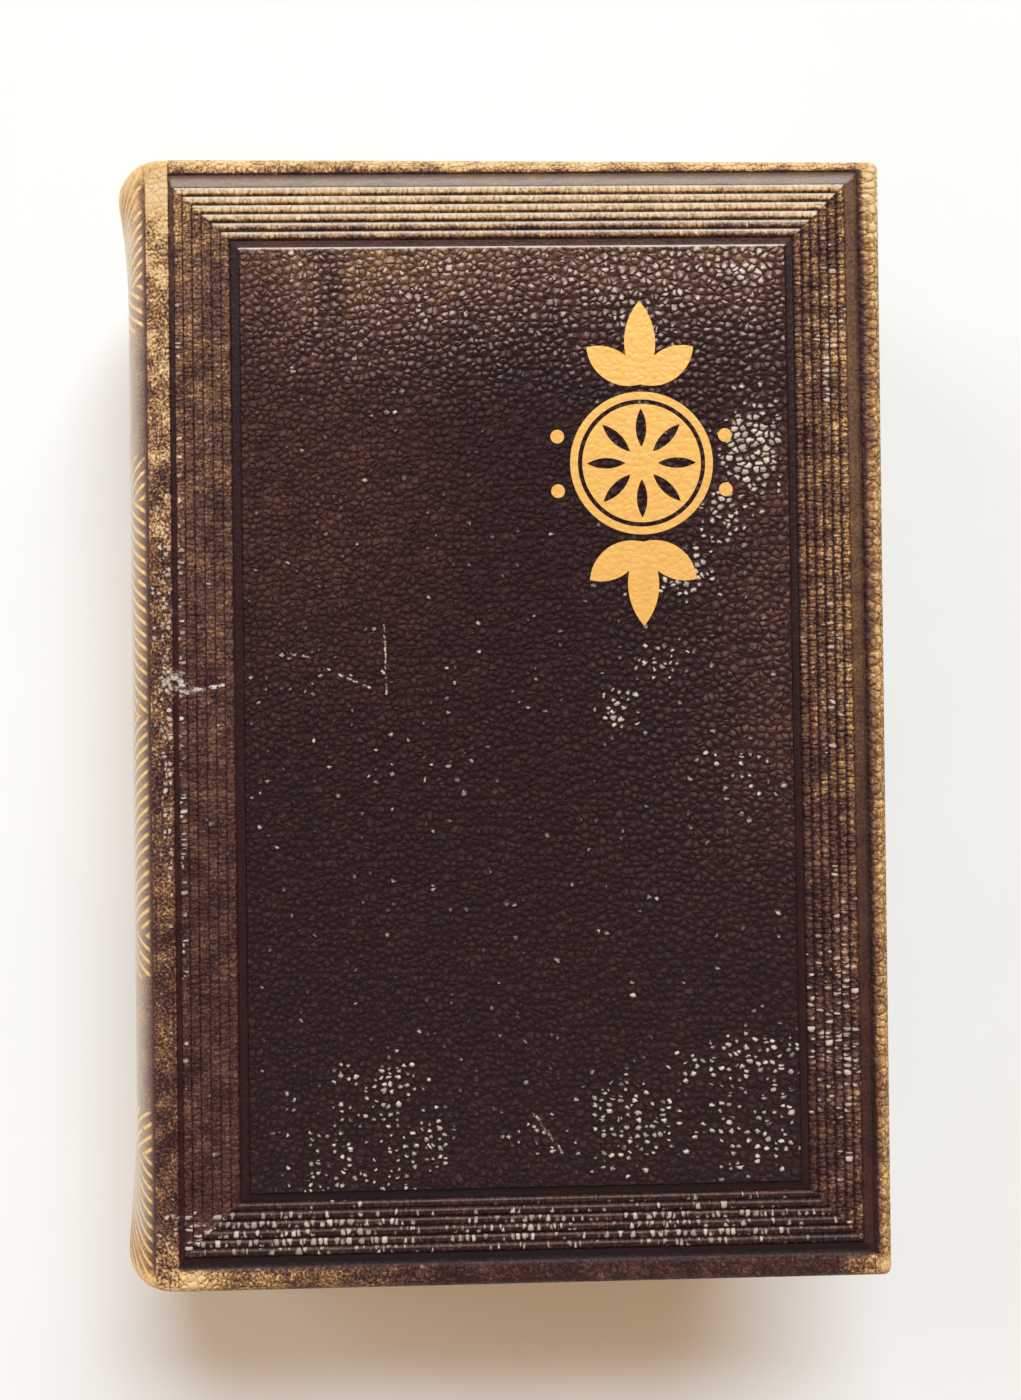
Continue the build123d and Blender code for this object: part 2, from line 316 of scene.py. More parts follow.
def frame_wear_and_light(x, y, inward, up):
    """Ridges and grooves, each side of the frame by itself, with painted light and shade on the ridge
    slopes.
    """
    sides = frame_sides(x, y, inward)
    head_ridge = 1.3 - 0.62 * soft(inward, 6.2, 8.2)
    fore_ridge = 0.4 - 0.022 * inward + 0.22 * soft(up, 0.15, 0.7)
    joint_ridge = 0.2 + 0.18 * soft(up, 0.3, 0.9) + 0.22 * soft(up, 0.88, 0.97)
    ridge = by_side(sides, head_ridge, 0.09, fore_ridge, joint_ridge)
    tail_floor = 0.32 * (1 - soft(inward, 0.1, 0.4))
    fore_floor = 0.22 + 0.3 * soft(up, 0.1, 0.7)
    joint_floor = 0.06 + 0.25 * soft(up, 0.8, 0.95)
    floor = by_side(sides, 0.54, tail_floor, fore_floor, joint_floor)

    # Painted light and shade: ridge slopes that face the window beyond the head get paler, and those that
    # face away get darker.
    step = 0.04
    steepest = 0.5
    fall = pressed_depth(frame_inward(x, y + step)) - pressed_depth(frame_inward(x, y - step))
    lit_slope = np.clip(fall / (2 * step) / steepest, -1, 1)
    ridge = ridge * (1 - 0.4 * np.clip(-lit_slope, 0, 1)) + 0.15 * np.clip(lit_slope, 0, 1)
    line_width = np.where(sides["joint"], 0.22, 0.5)
    ridge = ridge * (0.4 + 0.6 * soft(ridge_share(inward), 0.03, line_width))
    inner = np.where(sides["head"], 0.17, np.where(sides["fore"], 0.04, 0.0))
    return np.where(on_ridges(inward), ridge, np.where(inward <= outer_groove, floor, inner))


def wear_of_edges(x, y, along, up):
    """The margin outside the frame."""
    head = 0.48 + 0.5 * soft(y, frame_head + 0.1, frame_head + 1.4)
    head = head * soft(y, frame_head, frame_head + 0.2)
    tail = 0.13 + 0.45 * (1 - soft(along, 0.1, 0.45)) + 0.35 * (1 - soft(along, 0.0, 0.14))
    tail = tail + 0.75 * soft(along, 0.91, 0.99)
    tail = tail * soft(-y, -frame_tail - 0.3, -frame_tail + 0.3)
    fore = soft(x, frame_right + 0.1, frame_right + 0.8) * (0.57 + 0.33 * soft(up, 0.86, 0.99))
    fore = fore + 0.2 * soft(x, fore_x - 1.9, fore_x - 1.3)
    return np.max([head, tail, fore], axis=0)


def spine_wear_and_sheen(y, up, run):
    """The shoulder beside the joint, the stamped back with its painted sheen, and the two caps."""
    from_joint = np.minimum(run, spine_run - run)
    shoulder = 0.25 + 0.08 * soft(up, 0.3, 0.5) + 0.31 * soft(up, 0.6, 0.8) + 0.38 * soft(up, 0.89, 0.96)
    shoulder = shoulder + 0.5 * soft(-y, 80.0, 88.0)
    # Partly painted sheen: the stamped back grows paler away from its border lines, towards the spine's
    # outer curve.
    stamped = 0.2 + 0.44 * soft(from_joint, border_run + 0.2, border_run + 2.0) + 0.14 * soft(up, 0.8, 0.95)
    caps = np.maximum(0.95 * soft(y, 84.0, 88.0), 0.95 * soft(-y, 85.0, 88.5))
    return np.maximum(np.where(from_joint < border_run, shoulder, stamped), caps)


def open_grain(x, y, inward, run):
    """1 where the grain stands open, less where tools or hands have pressed it flat."""
    ridges = by_side(frame_sides(x, y, inward), 0.7, 0.8, 0.75, 0.4)
    margin = np.select([y > frame_head, y < frame_tail, x > frame_right], [0.35, 0.5, 0.75], 0.2)
    on_cover = by_zone(inward, margin, ridges, 0.1, 1.0)
    from_joint = np.minimum(run, spine_run - run)
    return np.where(run > 0.15, np.where(from_joint < border_run, 0.22, 0.06), on_cover)


def fleck_share(x, y, inward, run):
    """How strongly the wear breaks into flecks."""
    ridges = np.where(frame_sides(x, y, inward)["head"], 1.05, 1.15)
    margin = np.where(x > frame_right, 0.7, 1.3) - 0.6 * soft(y, frame_head + 0.8, frame_head + 1.6)
    grooves = np.where(x < joint_x + 1.0, 0.8, 0.45)
    on_cover = by_zone(inward, margin, ridges, grooves, 0.6)
    from_joint = np.minimum(run, spine_run - run)
    shoulder = 1.7 - 1.2 * soft(y, 77.0, 83.0)
    return np.where(run > 0.15, np.where(from_joint < border_run, shoulder, 0.6), on_cover)


def hide_wear_and_light(x, y, inward, run):
    """All of the hide: 0 is fresh dye and 1 is bare tan suede, with painted light on the ridges and painted
    sheen on the spine.
    """
    along = np.clip((x - joint_x) / (fore_x - joint_x), 0, 1)
    up = (y + head_y) / (2 * head_y)
    in_panel = panel_tone(along, y)
    in_frame = frame_wear_and_light(x, y, inward, up)
    on_cover = np.where(inward > frame_width - 0.02, in_panel, in_frame)
    on_cover = np.where(inward <= 0.0, wear_of_edges(x, y, along, up), on_cover)
    return np.clip(np.where(run > 0.15, spine_wear_and_sheen(y, up, run), on_cover), 0, 1.1)


# %% [markdown]
# ## The hide
# One piece of leather covers the spine and is turned in over the boards. A cloth simulation
# would not hold the crisp tooling, so the hide is a grid of lines: round the spine, across
# the joint and over the board one way, tail to head the other way. A strip then follows its
# edge, over the rounded board edge and back inside, or over the rolled cap at the spine's ends.
# An old board is never quite square, so the margins drift by half a millimetre or so.

# %% Grid of the hide
def cover_columns():
    """X of the mesh lines on the cover, from the joint to where the fore-edge starts to round."""
    left = np.interp(frame_lines, joint_knots_inward, joint_knots_x)
    left = left[left > joint_x + 0.04]
    right = (frame_right - frame_lines)[::-1]
    panel = np.linspace(left[-1], right[0], 42)[1:-1]
    margin = np.linspace(frame_right, fore_x - edge_radius, 5)[1:]
    return np.concatenate([[joint_x], left, panel, right, margin])


def hide_rows():
    """Y of the mesh lines, from where the tail edge starts to round to the head."""
    low = frame_tail + frame_lines
    high = (frame_head - frame_lines)[::-1]
    panel = np.linspace(low[-1], high[0], 66)[1:-1]
    tail_margin = np.linspace(-head_y + edge_radius, frame_tail, 5)[:-1]
    head_margin = np.linspace(frame_head, head_y - edge_radius, 4)[1:]
    return np.concatenate([tail_margin, low, panel, high, head_margin])


def board_profile():
    """The strip over a board's edge, as steps outwards and steps into the book."""
    quarter = np.linspace(0, math.pi / 2, 6)
    inner = np.linspace(0, math.pi / 2, 4)[1:]
    turned = np.linspace(edge_radius - turned_edge_radius, edge_radius - turn_in, 6)[1:]
    out = [edge_radius * np.sin(quarter), [edge_radius],
           edge_radius - turned_edge_radius * (1 - np.cos(inner)), turned]
    down = [edge_radius * (1 - np.cos(quarter)), [cover_thickness - turned_edge_radius],
            cover_thickness - turned_edge_radius * (1 - np.sin(inner)), np.full(5, cover_thickness)]
    return np.column_stack([np.concatenate(out), np.concatenate(down)])


def cap_profile():
    """The strip over the spine's rolled cap and down its inside, in as many steps."""
    start = math.asin((cap_radius - edge_radius) / cap_radius)
    arc = np.linspace(start, math.pi / 2, 8)
    wall = cap_wall - cap_radius * (1 - math.cos(start))
    inside = np.linspace(edge_radius - 0.3, edge_radius - 3.0, 6)[1:]
    out = [cap_radius * (np.sin(arc) - math.sin(start)), [edge_radius - 0.1, edge_radius - 0.3], inside]
    down = [cap_radius * (math.cos(start) - np.cos(arc)), [wall - 0.06, wall], np.full(5, wall)]
    return np.column_stack([np.concatenate(out), np.concatenate(down)])


board_edge, cap_edge = board_profile(), cap_profile()
board_to_cap = (0.5, 5.0)
print("grid:", len(cover_columns()), "columns on a cover,", len(hide_rows()), "rows")


# %% Points of the hide
def hide_points(runs, columns, rows):
    """Grid of points before tooling, their outward normals, and each column's run round the spine."""
    bent = len(runs)
    run_of = np.concatenate([runs, np.zeros(len(columns))])
    radius = edge_radius + (cap_radius - edge_radius) * soft(runs, *board_to_cap)
    points = np.zeros((len(rows), len(run_of), 3))
    normals = np.zeros_like(points)
    for row, y in enumerate(rows):
        curve, lengths = spine_curve(flare_at(y))
        at = runs / spine_run * lengths[-1]
        section = np.column_stack([np.interp(at, lengths, curve[:, i]) for i in range(4)])
        over = np.clip(abs(y) - (head_y - radius), 0, None)
        inset = radius - np.sqrt(radius**2 - over**2)
        points[row, :bent, 0] = section[:, 0] - inset * section[:, 2]
        points[row, :bent, 2] = middle_z + section[:, 1] - inset * section[:, 3]
        normals[row, :bent, 0], normals[row, :bent, 2] = section[:, 2], section[:, 3]
        points[row, bent:, 0] = columns
        points[row, bent:, 2] = top_z - shoulder_drop * (1 - soft(columns, joint_x, joint_x + 1.0))
        normals[row, bent:, 2] = 1
        points[row, :, 1] = y
    return points, normals, np.broadcast_to(run_of, points.shape[:2])


def drift_margins(points):
    """Move the margins outside the frame a little, as on a board that isn't quite square."""
    x, y = points[..., 0].copy(), points[..., 1].copy()
    along = np.clip((x - joint_x) / (fore_x - joint_x), 0, 1)
    points[..., 0] += (0.35 + 0.6 * y / head_y) * soft(x, frame_right, fore_x - edge_radius)
    points[..., 1] += (0.45 - 1.0 * along) * soft(y, frame_head, head_y - edge_radius)
    points[..., 1] -= 0.45 * soft(-y, -frame_tail, head_y - edge_radius)


# %% Tooling, its painted rim highlights and the grain on it
def tooled_depth(run, inward, sides):
    """Depth of the pressed frame, and of the lines that border the stamped back."""
    borders = np.exp(-(((run - border_run) / border_width) ** 2))
    borders = borders + np.exp(-(((run - spine_run + border_run) / border_width) ** 2))
    filled = np.where(sides["joint"] & on_ridges(inward), 0.6, 1.0)
    return np.where(inward > 0, pressed_depth(inward), 0) * filled + border_depth * borders


def painted_rim_highlights(inward, sides):
    """Painted highlights: the panel's rim at the head, and the upper edge of each level ridge."""
    panel_rim_highlight = 2.1 * between(inward, frame_width - 0.2, frame_width + 0.08, 0.06) * sides["head"]
    phase = (inward - outer_groove) / ridge_pitch % 1
    upper_edge = np.where(sides["head"], 1 - phase, phase)
    line = between(upper_edge, 0.67, 0.73, 0.04)
    head_edge = 0.5 * between(upper_edge, 0.6, 0.9, 0.04) + 0.35 * line
    ridge_rim_highlight = np.where(sides["head"], head_edge, 0.15 * line)
    return np.maximum(panel_rim_highlight, ridge_rim_highlight * on_ridges(inward) * (sides["head"] | sides["tail"]))


def grain_place(x, y, inward, sides):
    """Where the grain is read: drawn to the middle of a ridge, so that its pebbles stand as beads."""
    middle = outer_groove + ridge_pitch * (np.floor((inward - outer_groove) / ridge_pitch) + 0.5)
    to_middle = 0.65 * np.where(on_ridges(inward), middle - inward, 0)
    grain_x = x + to_middle * by_side(sides, 0.0, 0.0, -1.0, 1.04)
    grain_y = y + to_middle * by_side(sides, -1.0, 1.0, 0.0, 0.0)
    return grain_x, grain_y


# %% Numbers that the hide carries
def hide_numbers(x, y, run, inward, sides, patches, wear_share):
    """The numbers on the points of the hide, by the names that the leather finish reads."""
    along = np.clip((x - joint_x) / (fore_x - joint_x), 0, 1)
    from_joint = np.minimum(run, spine_run - run)
    stamped = between(run, border_run, spine_run - border_run, 0.2)
    floors = between(inward, 0.15, outer_groove - 0.1, 0.12)
    floors = floors + between(inward, ridges_end + 0.1, frame_width - 0.15, 0.12)
    # Painted shade: the lines between ridges and the groove floors darken, most at the tail, which faces
    # away from the window.
    between_ridges = 1 - soft(ridge_share(inward), 0.04, np.where(sides["joint"], 0.2, 0.36))
    groove_shade = floors * by_side(sides, 0.0, 1.1, 0.75, 0.6)
    lines = np.where(on_ridges(inward), between_ridges, groove_shade)
    grain_x, grain_y = grain_place(x, y, inward, sides)
    ridged = (inward > outer_groove - 0.1) & (inward < ridges_end + 0.06)
    in_margin = frame_right - x < 0.2
    # Painted highlight on the pebble brows: strongest near the head, faint towards the fore-edge.
    painted_glint = soft(y, 46.0, 72.0) * soft(along, 0.0, 0.3) * (1 - 0.4 * soft(along, 0.75, 0.9))
    painted_glint = painted_glint + 0.15 * soft(along, 0.5, 0.85) * soft(y, -45.0, 5.0)
    # Painted sheen on the stamped back away from its borders and on the head's outer groove; both also set
    # the real coat of gloss.
    sheen = stamped * soft(from_joint, border_run + 0.4, border_run + 2.0)
    sheen = sheen * (1 - 0.8 * soft(np.abs(y), 78.0, 86.0))
    polished_and_sheen = np.clip(floors, 0, 1) * sides["head"] * (inward < outer_groove)
    numbers = {
        "flat": np.dstack([np.where(run > 0, -run, x - joint_x), y, 0 * x]),
        "grain": np.dstack([np.where(run > 0, -run, grain_x - joint_x), grain_y, 0 * x]),
        "spine": np.dstack([from_joint, y, stamped]),
        "pebble": np.where(ridged, 1.05, np.where(in_margin, 1.5, 1.1 + 0.12 * along)),
        "wear_and_light": wear_share * hide_wear_and_light(x, y, inward, run),
        "bare": bare_tips(np.where(run > 0, joint_x - run, x), y, patches) * (1 - stamped),
        "lines_and_shade": lines * by_side(sides, 0.8, 1.0, 0.75, 0.5),
        "gloss_and_sheen": polished_and_sheen + sheen,
        "open": open_grain(x, y, inward, run),
        "fleck": fleck_share(x, y, inward, run),
        "rim_highlight": wear_share * painted_rim_highlights(inward, sides),
        "painted_glint": wear_share * np.clip(painted_glint, 0, 1) * (inward > frame_width),
    }
    return {title: list(values.reshape(x.size, -1).squeeze()) for title, values in numbers.items()}


# %% Hide over one cover
def edge_path(tall, across):
    """Points round the grid's edge, from the tail over the fore-edge to the head, and the way out there."""
    fan = np.linspace(0, math.pi / 2, 9)[1:-1]
    path = [(0, c, (0, -1)) for c in range(across)]
    path += [(0, across - 1, (math.sin(a), -math.cos(a))) for a in fan]
    path += [(r, across - 1, (1, 0)) for r in range(tall)]
    path += [(tall - 1, across - 1, (math.cos(a), math.sin(a))) for a in fan]
    path += [(tall - 1, c, (0, 1)) for c in range(across - 1, -1, -1)]
    return path


def make_hide(name, last_run, patches, wear_share, mirrored):
    """The hide from a run round the spine, over the joint and one cover, turned in at its edges."""
    near_joint = np.concatenate([np.linspace(border_run, 0.6, 10), [0.42, 0.28, 0.14, 0.0]])
    behind = np.linspace(last_run, border_run, max(int((last_run - border_run) * 0.8), 2))[:-1]
    runs = np.concatenate([behind if last_run > border_run else [], near_joint])
    points, normals, run = hide_points(runs, cover_columns(), hide_rows())
    tall, across = run.shape
    x, y = points[..., 0].copy(), points[..., 1].copy()
    inward = np.where(run > 0.25, outside_frame, frame_inward(x, y))
    sides = frame_sides(x, y, inward)
    points -= normals * tooled_depth(run, inward, sides)[..., None]
    drift_margins(points)
    numbers = hide_numbers(x, y, run, inward, sides, patches, wear_share)
    verts = list(points.reshape(-1, 3))
    faces = grid_faces(tall, across)

    before = None
    for r, c, (out_x, out_y) in edge_path(tall, across):
        to_corner = 0.0
        if out_x == 0:
            to_corner = x[r, -1] - x[r, c]
        elif out_y == 0:
            to_corner = min(y[-1, 0] - y[r, c], y[r, c] - y[0, 0])
        outward = np.array([out_x, out_y, 0])
        source = r * across + c
        ring = [source]
        profile = board_edge + (cap_edge - board_edge) * soft(run[r, c], *board_to_cap)
        for step_out, step_in in profile[1:]:
            step_out = max(step_out, -to_corner)
            stretch = max(step_out, 0) + step_in
            ring.append(len(verts))
            verts.append(points[r, c] - normals[r, c] * step_in + outward * step_out)
            for title in ("flat", "grain"):
                numbers[title].append(numbers[title][source] + outward * stretch)
            fading = np.array([1, 1, 1 - soft(stretch, 0.5, 2.0)])
            numbers["spine"].append(numbers["spine"][source] * fading)
            numbers["wear_and_light"].append(numbers["wear_and_light"][source] * (1 - 0.8 * soft(step_in, 2.2, 3.2)))
            for title in ("open", "fleck", "pebble"):
                numbers[title].append(numbers[title][source])
            for title in ("bare", "lines_and_shade", "gloss_and_sheen", "rim_highlight", "painted_glint"):
                numbers[title].append(0.0)
        if before:
            faces += [(before[k], before[k + 1], ring[k + 1], ring[k]) for k in range(len(ring) - 1)]
        before = ring
    verts = np.array(verts)
    if mirrored:
        verts[:, 2] = top_z - verts[:, 2]
        faces = [face[::-1] for face in faces]
    return make_piece(name, verts, faces, numbers)


front_hide = make_hide("front_hide", spine_run - border_run, front_patches, 1.0, False)
thicken(front_hide, hide_thickness)
back_hide = make_hide("back_hide", border_run, back_patches, 0.85, True)
thicken(back_hide, hide_thickness)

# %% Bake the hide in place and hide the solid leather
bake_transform(front_hide)
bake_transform(back_hide)
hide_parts("front_cover_leather", "spine_leather")
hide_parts("back_cover_leather")


# %% [markdown]
# ## The leaves
# The pages are one solid, but its cut edges are never a clean face: sections of a few leaves
# stand a little proud of each other. So the block is a stack of thin slices with small seeded
# steps, rounded at the back, hollow at the fore-edge, with the backed shoulders at the joint.

# %% Block of leaves
leaf_high = node_box("text_block")[1]
fly_low, fly_high = node_box("front_flyleaf")
leaf_fore, leaf_head = fly_high[0], leaf_high[1]
leaf_half = fly_low[2] - middle_z
fore_hollow = 5.0
back_inset = 1.8


def leaf_outline(height):
    """Back and fore-edge of the leaves at a height above the middle."""
    curve = spine_curve(0, back_inset)[0]
    half = curve[: len(curve) // 2 + 1]
    back = np.interp(abs(height), half[::-1, 1], half[::-1, 0])
    if abs(height) <= leaf_half:
        return back, leaf_fore - fore_hollow * (1 - (height / leaf_half) ** 2)
    climb = (abs(height) - leaf_half) / (leaf_high[2] - middle_z - leaf_half)
    return back, joint_x + 0.2 - 1.2 * climb


def make_leaves():
    """Slices of leaves, bottom to top, closed at both ends."""
    dice = np.random.default_rng(7)
    body = np.linspace(-leaf_half, leaf_half, 120)
    top = leaf_high[2] - middle_z
    shoulder = np.array([leaf_half + 0.01, leaf_half + 0.9, top])
    heights = np.concatenate([-shoulder[::-1], body, shoulder])
    shares = np.linspace(0, 1, 25)
    rings = []
    for height in heights:
        back, fore = leaf_outline(height)
        out, head_out, tail_out = dice.normal(0, [0.1, 0.07, 0.07])
        waver = 0.05 * np.sin(7 * shares * math.pi + dice.uniform(0, 6))
        low, high = -leaf_head + 0.12 + tail_out, leaf_head - 0.12 + head_out
        tail = [(back + (fore - back) * s, low, height) for s in shares[:-1]]
        side = [(fore - 0.1 + out + w, low + (high - low) * s, height) for s, w in zip(shares, waver)]
        head = [(fore + (back - fore) * s, high, height) for s in shares[1:]]
        rings.append(tail + side[1:-1] + [(fore, high, height)] + head)
    count = len(rings[0])
    points = np.array(rings).reshape(-1, 3) + np.array([0, 0, middle_z])
    faces = grid_faces(len(rings), count, closed=True)
    faces += [tuple(range(count))[::-1], tuple(range((len(rings) - 1) * count, len(rings) * count))]
    leaves = make_piece("leaves", points, faces)
    leaves.data.shade_flat()
    return leaves


leaves = make_leaves()
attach(leaves, "block")
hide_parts("text_block")
print("leaves:", len(leaves.data.polygons), "faces")


# %% [markdown]
# ## Headbands
# At each end of the spine a cord wrapped in two colours of thread is sewn to the sections.
# Each band is a tube bent along the spine's curve, swollen once for every turn of thread, and
# each turn carries its number so that the finish can alternate the colours.

# %% Thread-wound bands
def make_band(name, end):
    """A wound cord across the back of the leaves, at the head (1) or the tail (-1)."""
    low, high = node_box(name)
    curve, runs = spine_curve(0, 4.0)
    keep = (np.abs(curve[:, 1]) < (high[2] - low[2]) / 2 - 0.4) & (curve[:, 0] < high[0] + 3)
    line, run = curve[keep], runs[keep] - runs[keep][0]
    turns = 30
    steps = np.linspace(0, run[-1], turns * 6 + 1)
    angles = np.linspace(0, 2 * math.pi, 12, endpoint=False)
    points, thread = [], []
    for step in steps:
        x, z, out_x, out_z = (np.interp(step, run, line[:, i]) for i in range(4))
        turn = step / run[-1] * turns
        radius = 0.82 + 0.14 * abs(math.sin(math.pi * turn))
        for angle in angles:
            away = radius * math.cos(angle)
            y = end * (leaf_head + 0.95 + radius * math.sin(angle))
            points.append((x + out_x * away, y, middle_z + z + out_z * away))
            thread.append(turn)
    faces = grid_faces(len(steps), len(angles), closed=True)
    last = (len(steps) - 1) * len(angles)
    faces += [tuple(range(len(angles)))[::-1], tuple(range(last, last + len(angles)))]
    if end > 0:
        faces = [face[::-1] for face in faces]
    band = make_piece(name + "_thread", points, faces, {"thread": thread})
    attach(band, "block")
    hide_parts(name)
    return band


bands = [make_band("head_band", 1), make_band("tail_band", -1)]
print("bands:", [band.name for band in bands])


# %% [markdown]
# ## Endpapers
# One folded sheet at each cover: half is pasted to the board, half lies on the leaves as the
# flyleaf, and the fold runs up into the gutter, close under the joint. The sheet is made as two
# pieces that meet there. The flyleaf stays with the leaves. The pastedown turns up round the
# board's edge.

# %% Folded endpapers
paper_thickness = 0.14
gutter_crest = top_z - 1.1
gutter_depth = 0.5
quarter_turn = np.linspace(0, math.pi / 2, 8)[1:]
half_turn = np.linspace(0, math.pi, 16)[1:]


def make_sheet(name, line, reach, first):
    """A sheet of paper along a line of (x, z), with its own half width at each point."""
    run = first + np.concatenate([[0], np.cumsum(np.hypot(*np.diff(line, axis=0).T))])
    rows = np.linspace(-1, 1, 40)
    points = np.array([[(x, r * row, z) for (x, z), r in zip(line, reach)] for row in rows])
    flat = np.array([[(along, r * row, 0) for along, r in zip(run, reach)] for row in rows])
    faces = [face[::-1] for face in grid_faces(len(rows), len(line))]
    points = points.reshape(-1, 3)
    if name.startswith("back"):
        points[:, 2] = top_z - points[:, 2]
        faces = [face[::-1] for face in faces]
    sheet = thicken(make_piece(name, points, faces, {"flat": flat.reshape(-1, 3)}), paper_thickness, 0.0)
    return sheet


def turn_up(low_x, low_z, radius):
    """Points of a quarter turn from a flat sheet to an upright one."""
    x = low_x - radius * np.sin(quarter_turn)
    z = low_z + radius * (1 - np.cos(quarter_turn))
    return np.column_stack([x, z])


def make_endpapers(side):
    """The flyleaf and the pastedown of the front or the back."""
    pasted_low, pasted_high = node_box("front_pastedown")
    pasted_z, fly_z = pasted_low[2] + 0.02, fly_low[2] + 0.13
    shoulder_x, board_x = joint_x + 0.2, node_box("front_board")[0][0] - 0.14
    rise_z = gutter_crest - gutter_depth
    flat_leaf = np.column_stack([np.linspace(fly_high[0], shoulder_x + 0.6, 36), np.full(36, fly_z)])
    upright = np.column_stack([np.full(5, shoulder_x), np.linspace(fly_z + 0.6, rise_z, 6)[1:]])
    line = np.concatenate([flat_leaf, turn_up(shoulder_x + 0.6, fly_z, 0.6), upright])
    flyleaf = make_sheet(side + "_flyleaf_sheet", line, np.full(len(line), fly_high[1]), 0.0)
    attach(flyleaf, "block")
    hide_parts(side + "_flyleaf")

    flat_leaf = np.column_stack([np.linspace(pasted_high[0], board_x + 0.25, 36), np.full(36, pasted_z)])
    upright = np.column_stack([np.full(5, board_x), np.linspace(pasted_z + 0.25, rise_z, 6)[1:]])
    middle, half = (board_x + shoulder_x) / 2, (board_x - shoulder_x) / 2
    crest = np.column_stack([middle + half * np.cos(half_turn), rise_z + gutter_depth * np.sin(half_turn)])
    line = np.concatenate([flat_leaf, turn_up(board_x + 0.25, pasted_z, 0.25), upright, crest])
    reach = np.interp(line[:, 0], [shoulder_x, board_x + 0.25], [fly_high[1], pasted_high[1]])
    pastedown = make_sheet(side + "_pastedown_sheet", line, reach, 170.0)
    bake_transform(pastedown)
    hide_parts(side + "_pastedown")
    return [flyleaf, pastedown]


endpapers = make_endpapers("front") + make_endpapers("back")


# %% [markdown]
# ## Shader helpers
# Node trees read more easily when a node and its wires are made in one line. A socket given
# as an input is wired, and a plain value is typed into the socket.

# %% Node helpers
def wire(tree, made, inputs):
    """Wire sockets and type plain values into a node's inputs."""
    for key, value in inputs.items():
        if isinstance(value, bpy.types.NodeSocket):
            tree.links.new(value, made.inputs[key])
        else:
            made.inputs[key].default_value = value


def add_node(tree, kind, inputs=None, **settings):
    """A shader node with its settings, its typed values and its wires."""
    made = tree.nodes.new("ShaderNode" + kind)
    for title, value in settings.items():
        setattr(made, title, value)
    wire(tree, made, inputs or {})
    return made


def calc(tree, operation, *values):
    """One sum on numbers that change over the surface."""
    return add_node(tree, "Math", dict(enumerate(values)), operation=operation).outputs[0]


def product(tree, first, *others):
    """Numbers multiplied together."""
    for other in others:
        first = calc(tree, "MULTIPLY", first, other)
    return first


def vector(tree, operation, *values, **named):
    """One sum on places: it gives a place, or a number for a distance or a dot product."""
    inputs = {**dict(enumerate(values)), **named}
    made = add_node(tree, "VectorMath", inputs, operation=operation)
    return made.outputs["Value" if operation in ("DISTANCE", "DOT_PRODUCT") else "Vector"]


def step_up(tree, value, low, high, to_low=0.0, to_high=1.0):
    """A soft step on a number."""
    limits = {"From Min": low, "From Max": high, "To Min": to_low, "To Max": to_high}
    made = add_node(tree, "MapRange", {"Value": value, **limits}, interpolation_type="SMOOTHSTEP")
    return made.outputs["Result"]


def tint(tree, share, first, second):
    """Mix two colours by a share."""
    return add_node(tree, "Mix", {0: share, 6: first, 7: second}, data_type="RGBA").outputs[2]


def clouds(tree, place, scale, detail=3.0, roughness=0.6):
    """Soft noise from 0 to 1."""
    noise = {"Vector": place, "Scale": scale, "Detail": detail, "Roughness": roughness}
    return add_node(tree, "TexNoise", noise).outputs["Fac"]


def shiver(tree, place, scale, detail):
    """A small push in a random direction, as often one way as the other."""
    noise = add_node(tree, "TexNoise", {"Vector": place, "Scale": scale, "Detail": detail})
    return vector(tree, "SUBTRACT", noise.outputs["Color"], (0.5, 0.5, 0.5))


def bumped(tree, height, depth, strength=1.0):
    """A normal that follows a height, with a depth in millimetres."""
    bump = {"Strength": strength, "Distance": depth * MM, "Height": height}
    return add_node(tree, "Bump", bump).outputs["Normal"]


def carried(tree, title, output="Fac"):
    """A number or a place that the mesh carries on its points."""
    return add_node(tree, "Attribute", attribute_name=title).outputs[output]


def millimetres(tree):
    """Place on the piece itself, in millimetres."""
    local = add_node(tree, "TexCoord").outputs["Object"]
    return vector(tree, "SCALE", local, Scale=1 / MM)


def new_finish(name, **values):
    """A material with its Principled shader and the values that don't change over it."""
    finish = bpy.data.materials.new(name)
    finish.use_nodes = True
    shader = finish.node_tree.nodes["Principled BSDF"]
    wire(finish.node_tree, shader, {title.replace("_", " "): value for title, value in values.items()})
    return finish, finish.node_tree, shader


def new_group(name, inputs, outputs):
    """An empty shader node group with named sockets."""
    group = bpy.data.node_groups.new(name, "ShaderNodeTree")
    for title, kind, value in inputs:
        socket = group.interface.new_socket(name=title, in_out="INPUT", socket_type="NodeSocket" + kind)
        if value is not None:
            socket.default_value = value
    for title, kind in outputs:
        group.interface.new_socket(name=title, in_out="OUTPUT", socket_type="NodeSocket" + kind)
    return group, group.nodes.new("NodeGroupInput").outputs, group.nodes.new("NodeGroupOutput").inputs


def place_group(tree, group, inputs):
    """Use a group in a material."""
    made = tree.nodes.new("ShaderNodeGroup")
    made.node_tree = group
    wire(tree, made, inputs)
    return made.outputs


def dress(finish, *pieces):
    """Give pieces one finish."""
    for piece in pieces:
        piece.data.materials.clear()
        piece.data.materials.append(finish)
    print(finish.name, "on", [piece.name for piece in pieces])
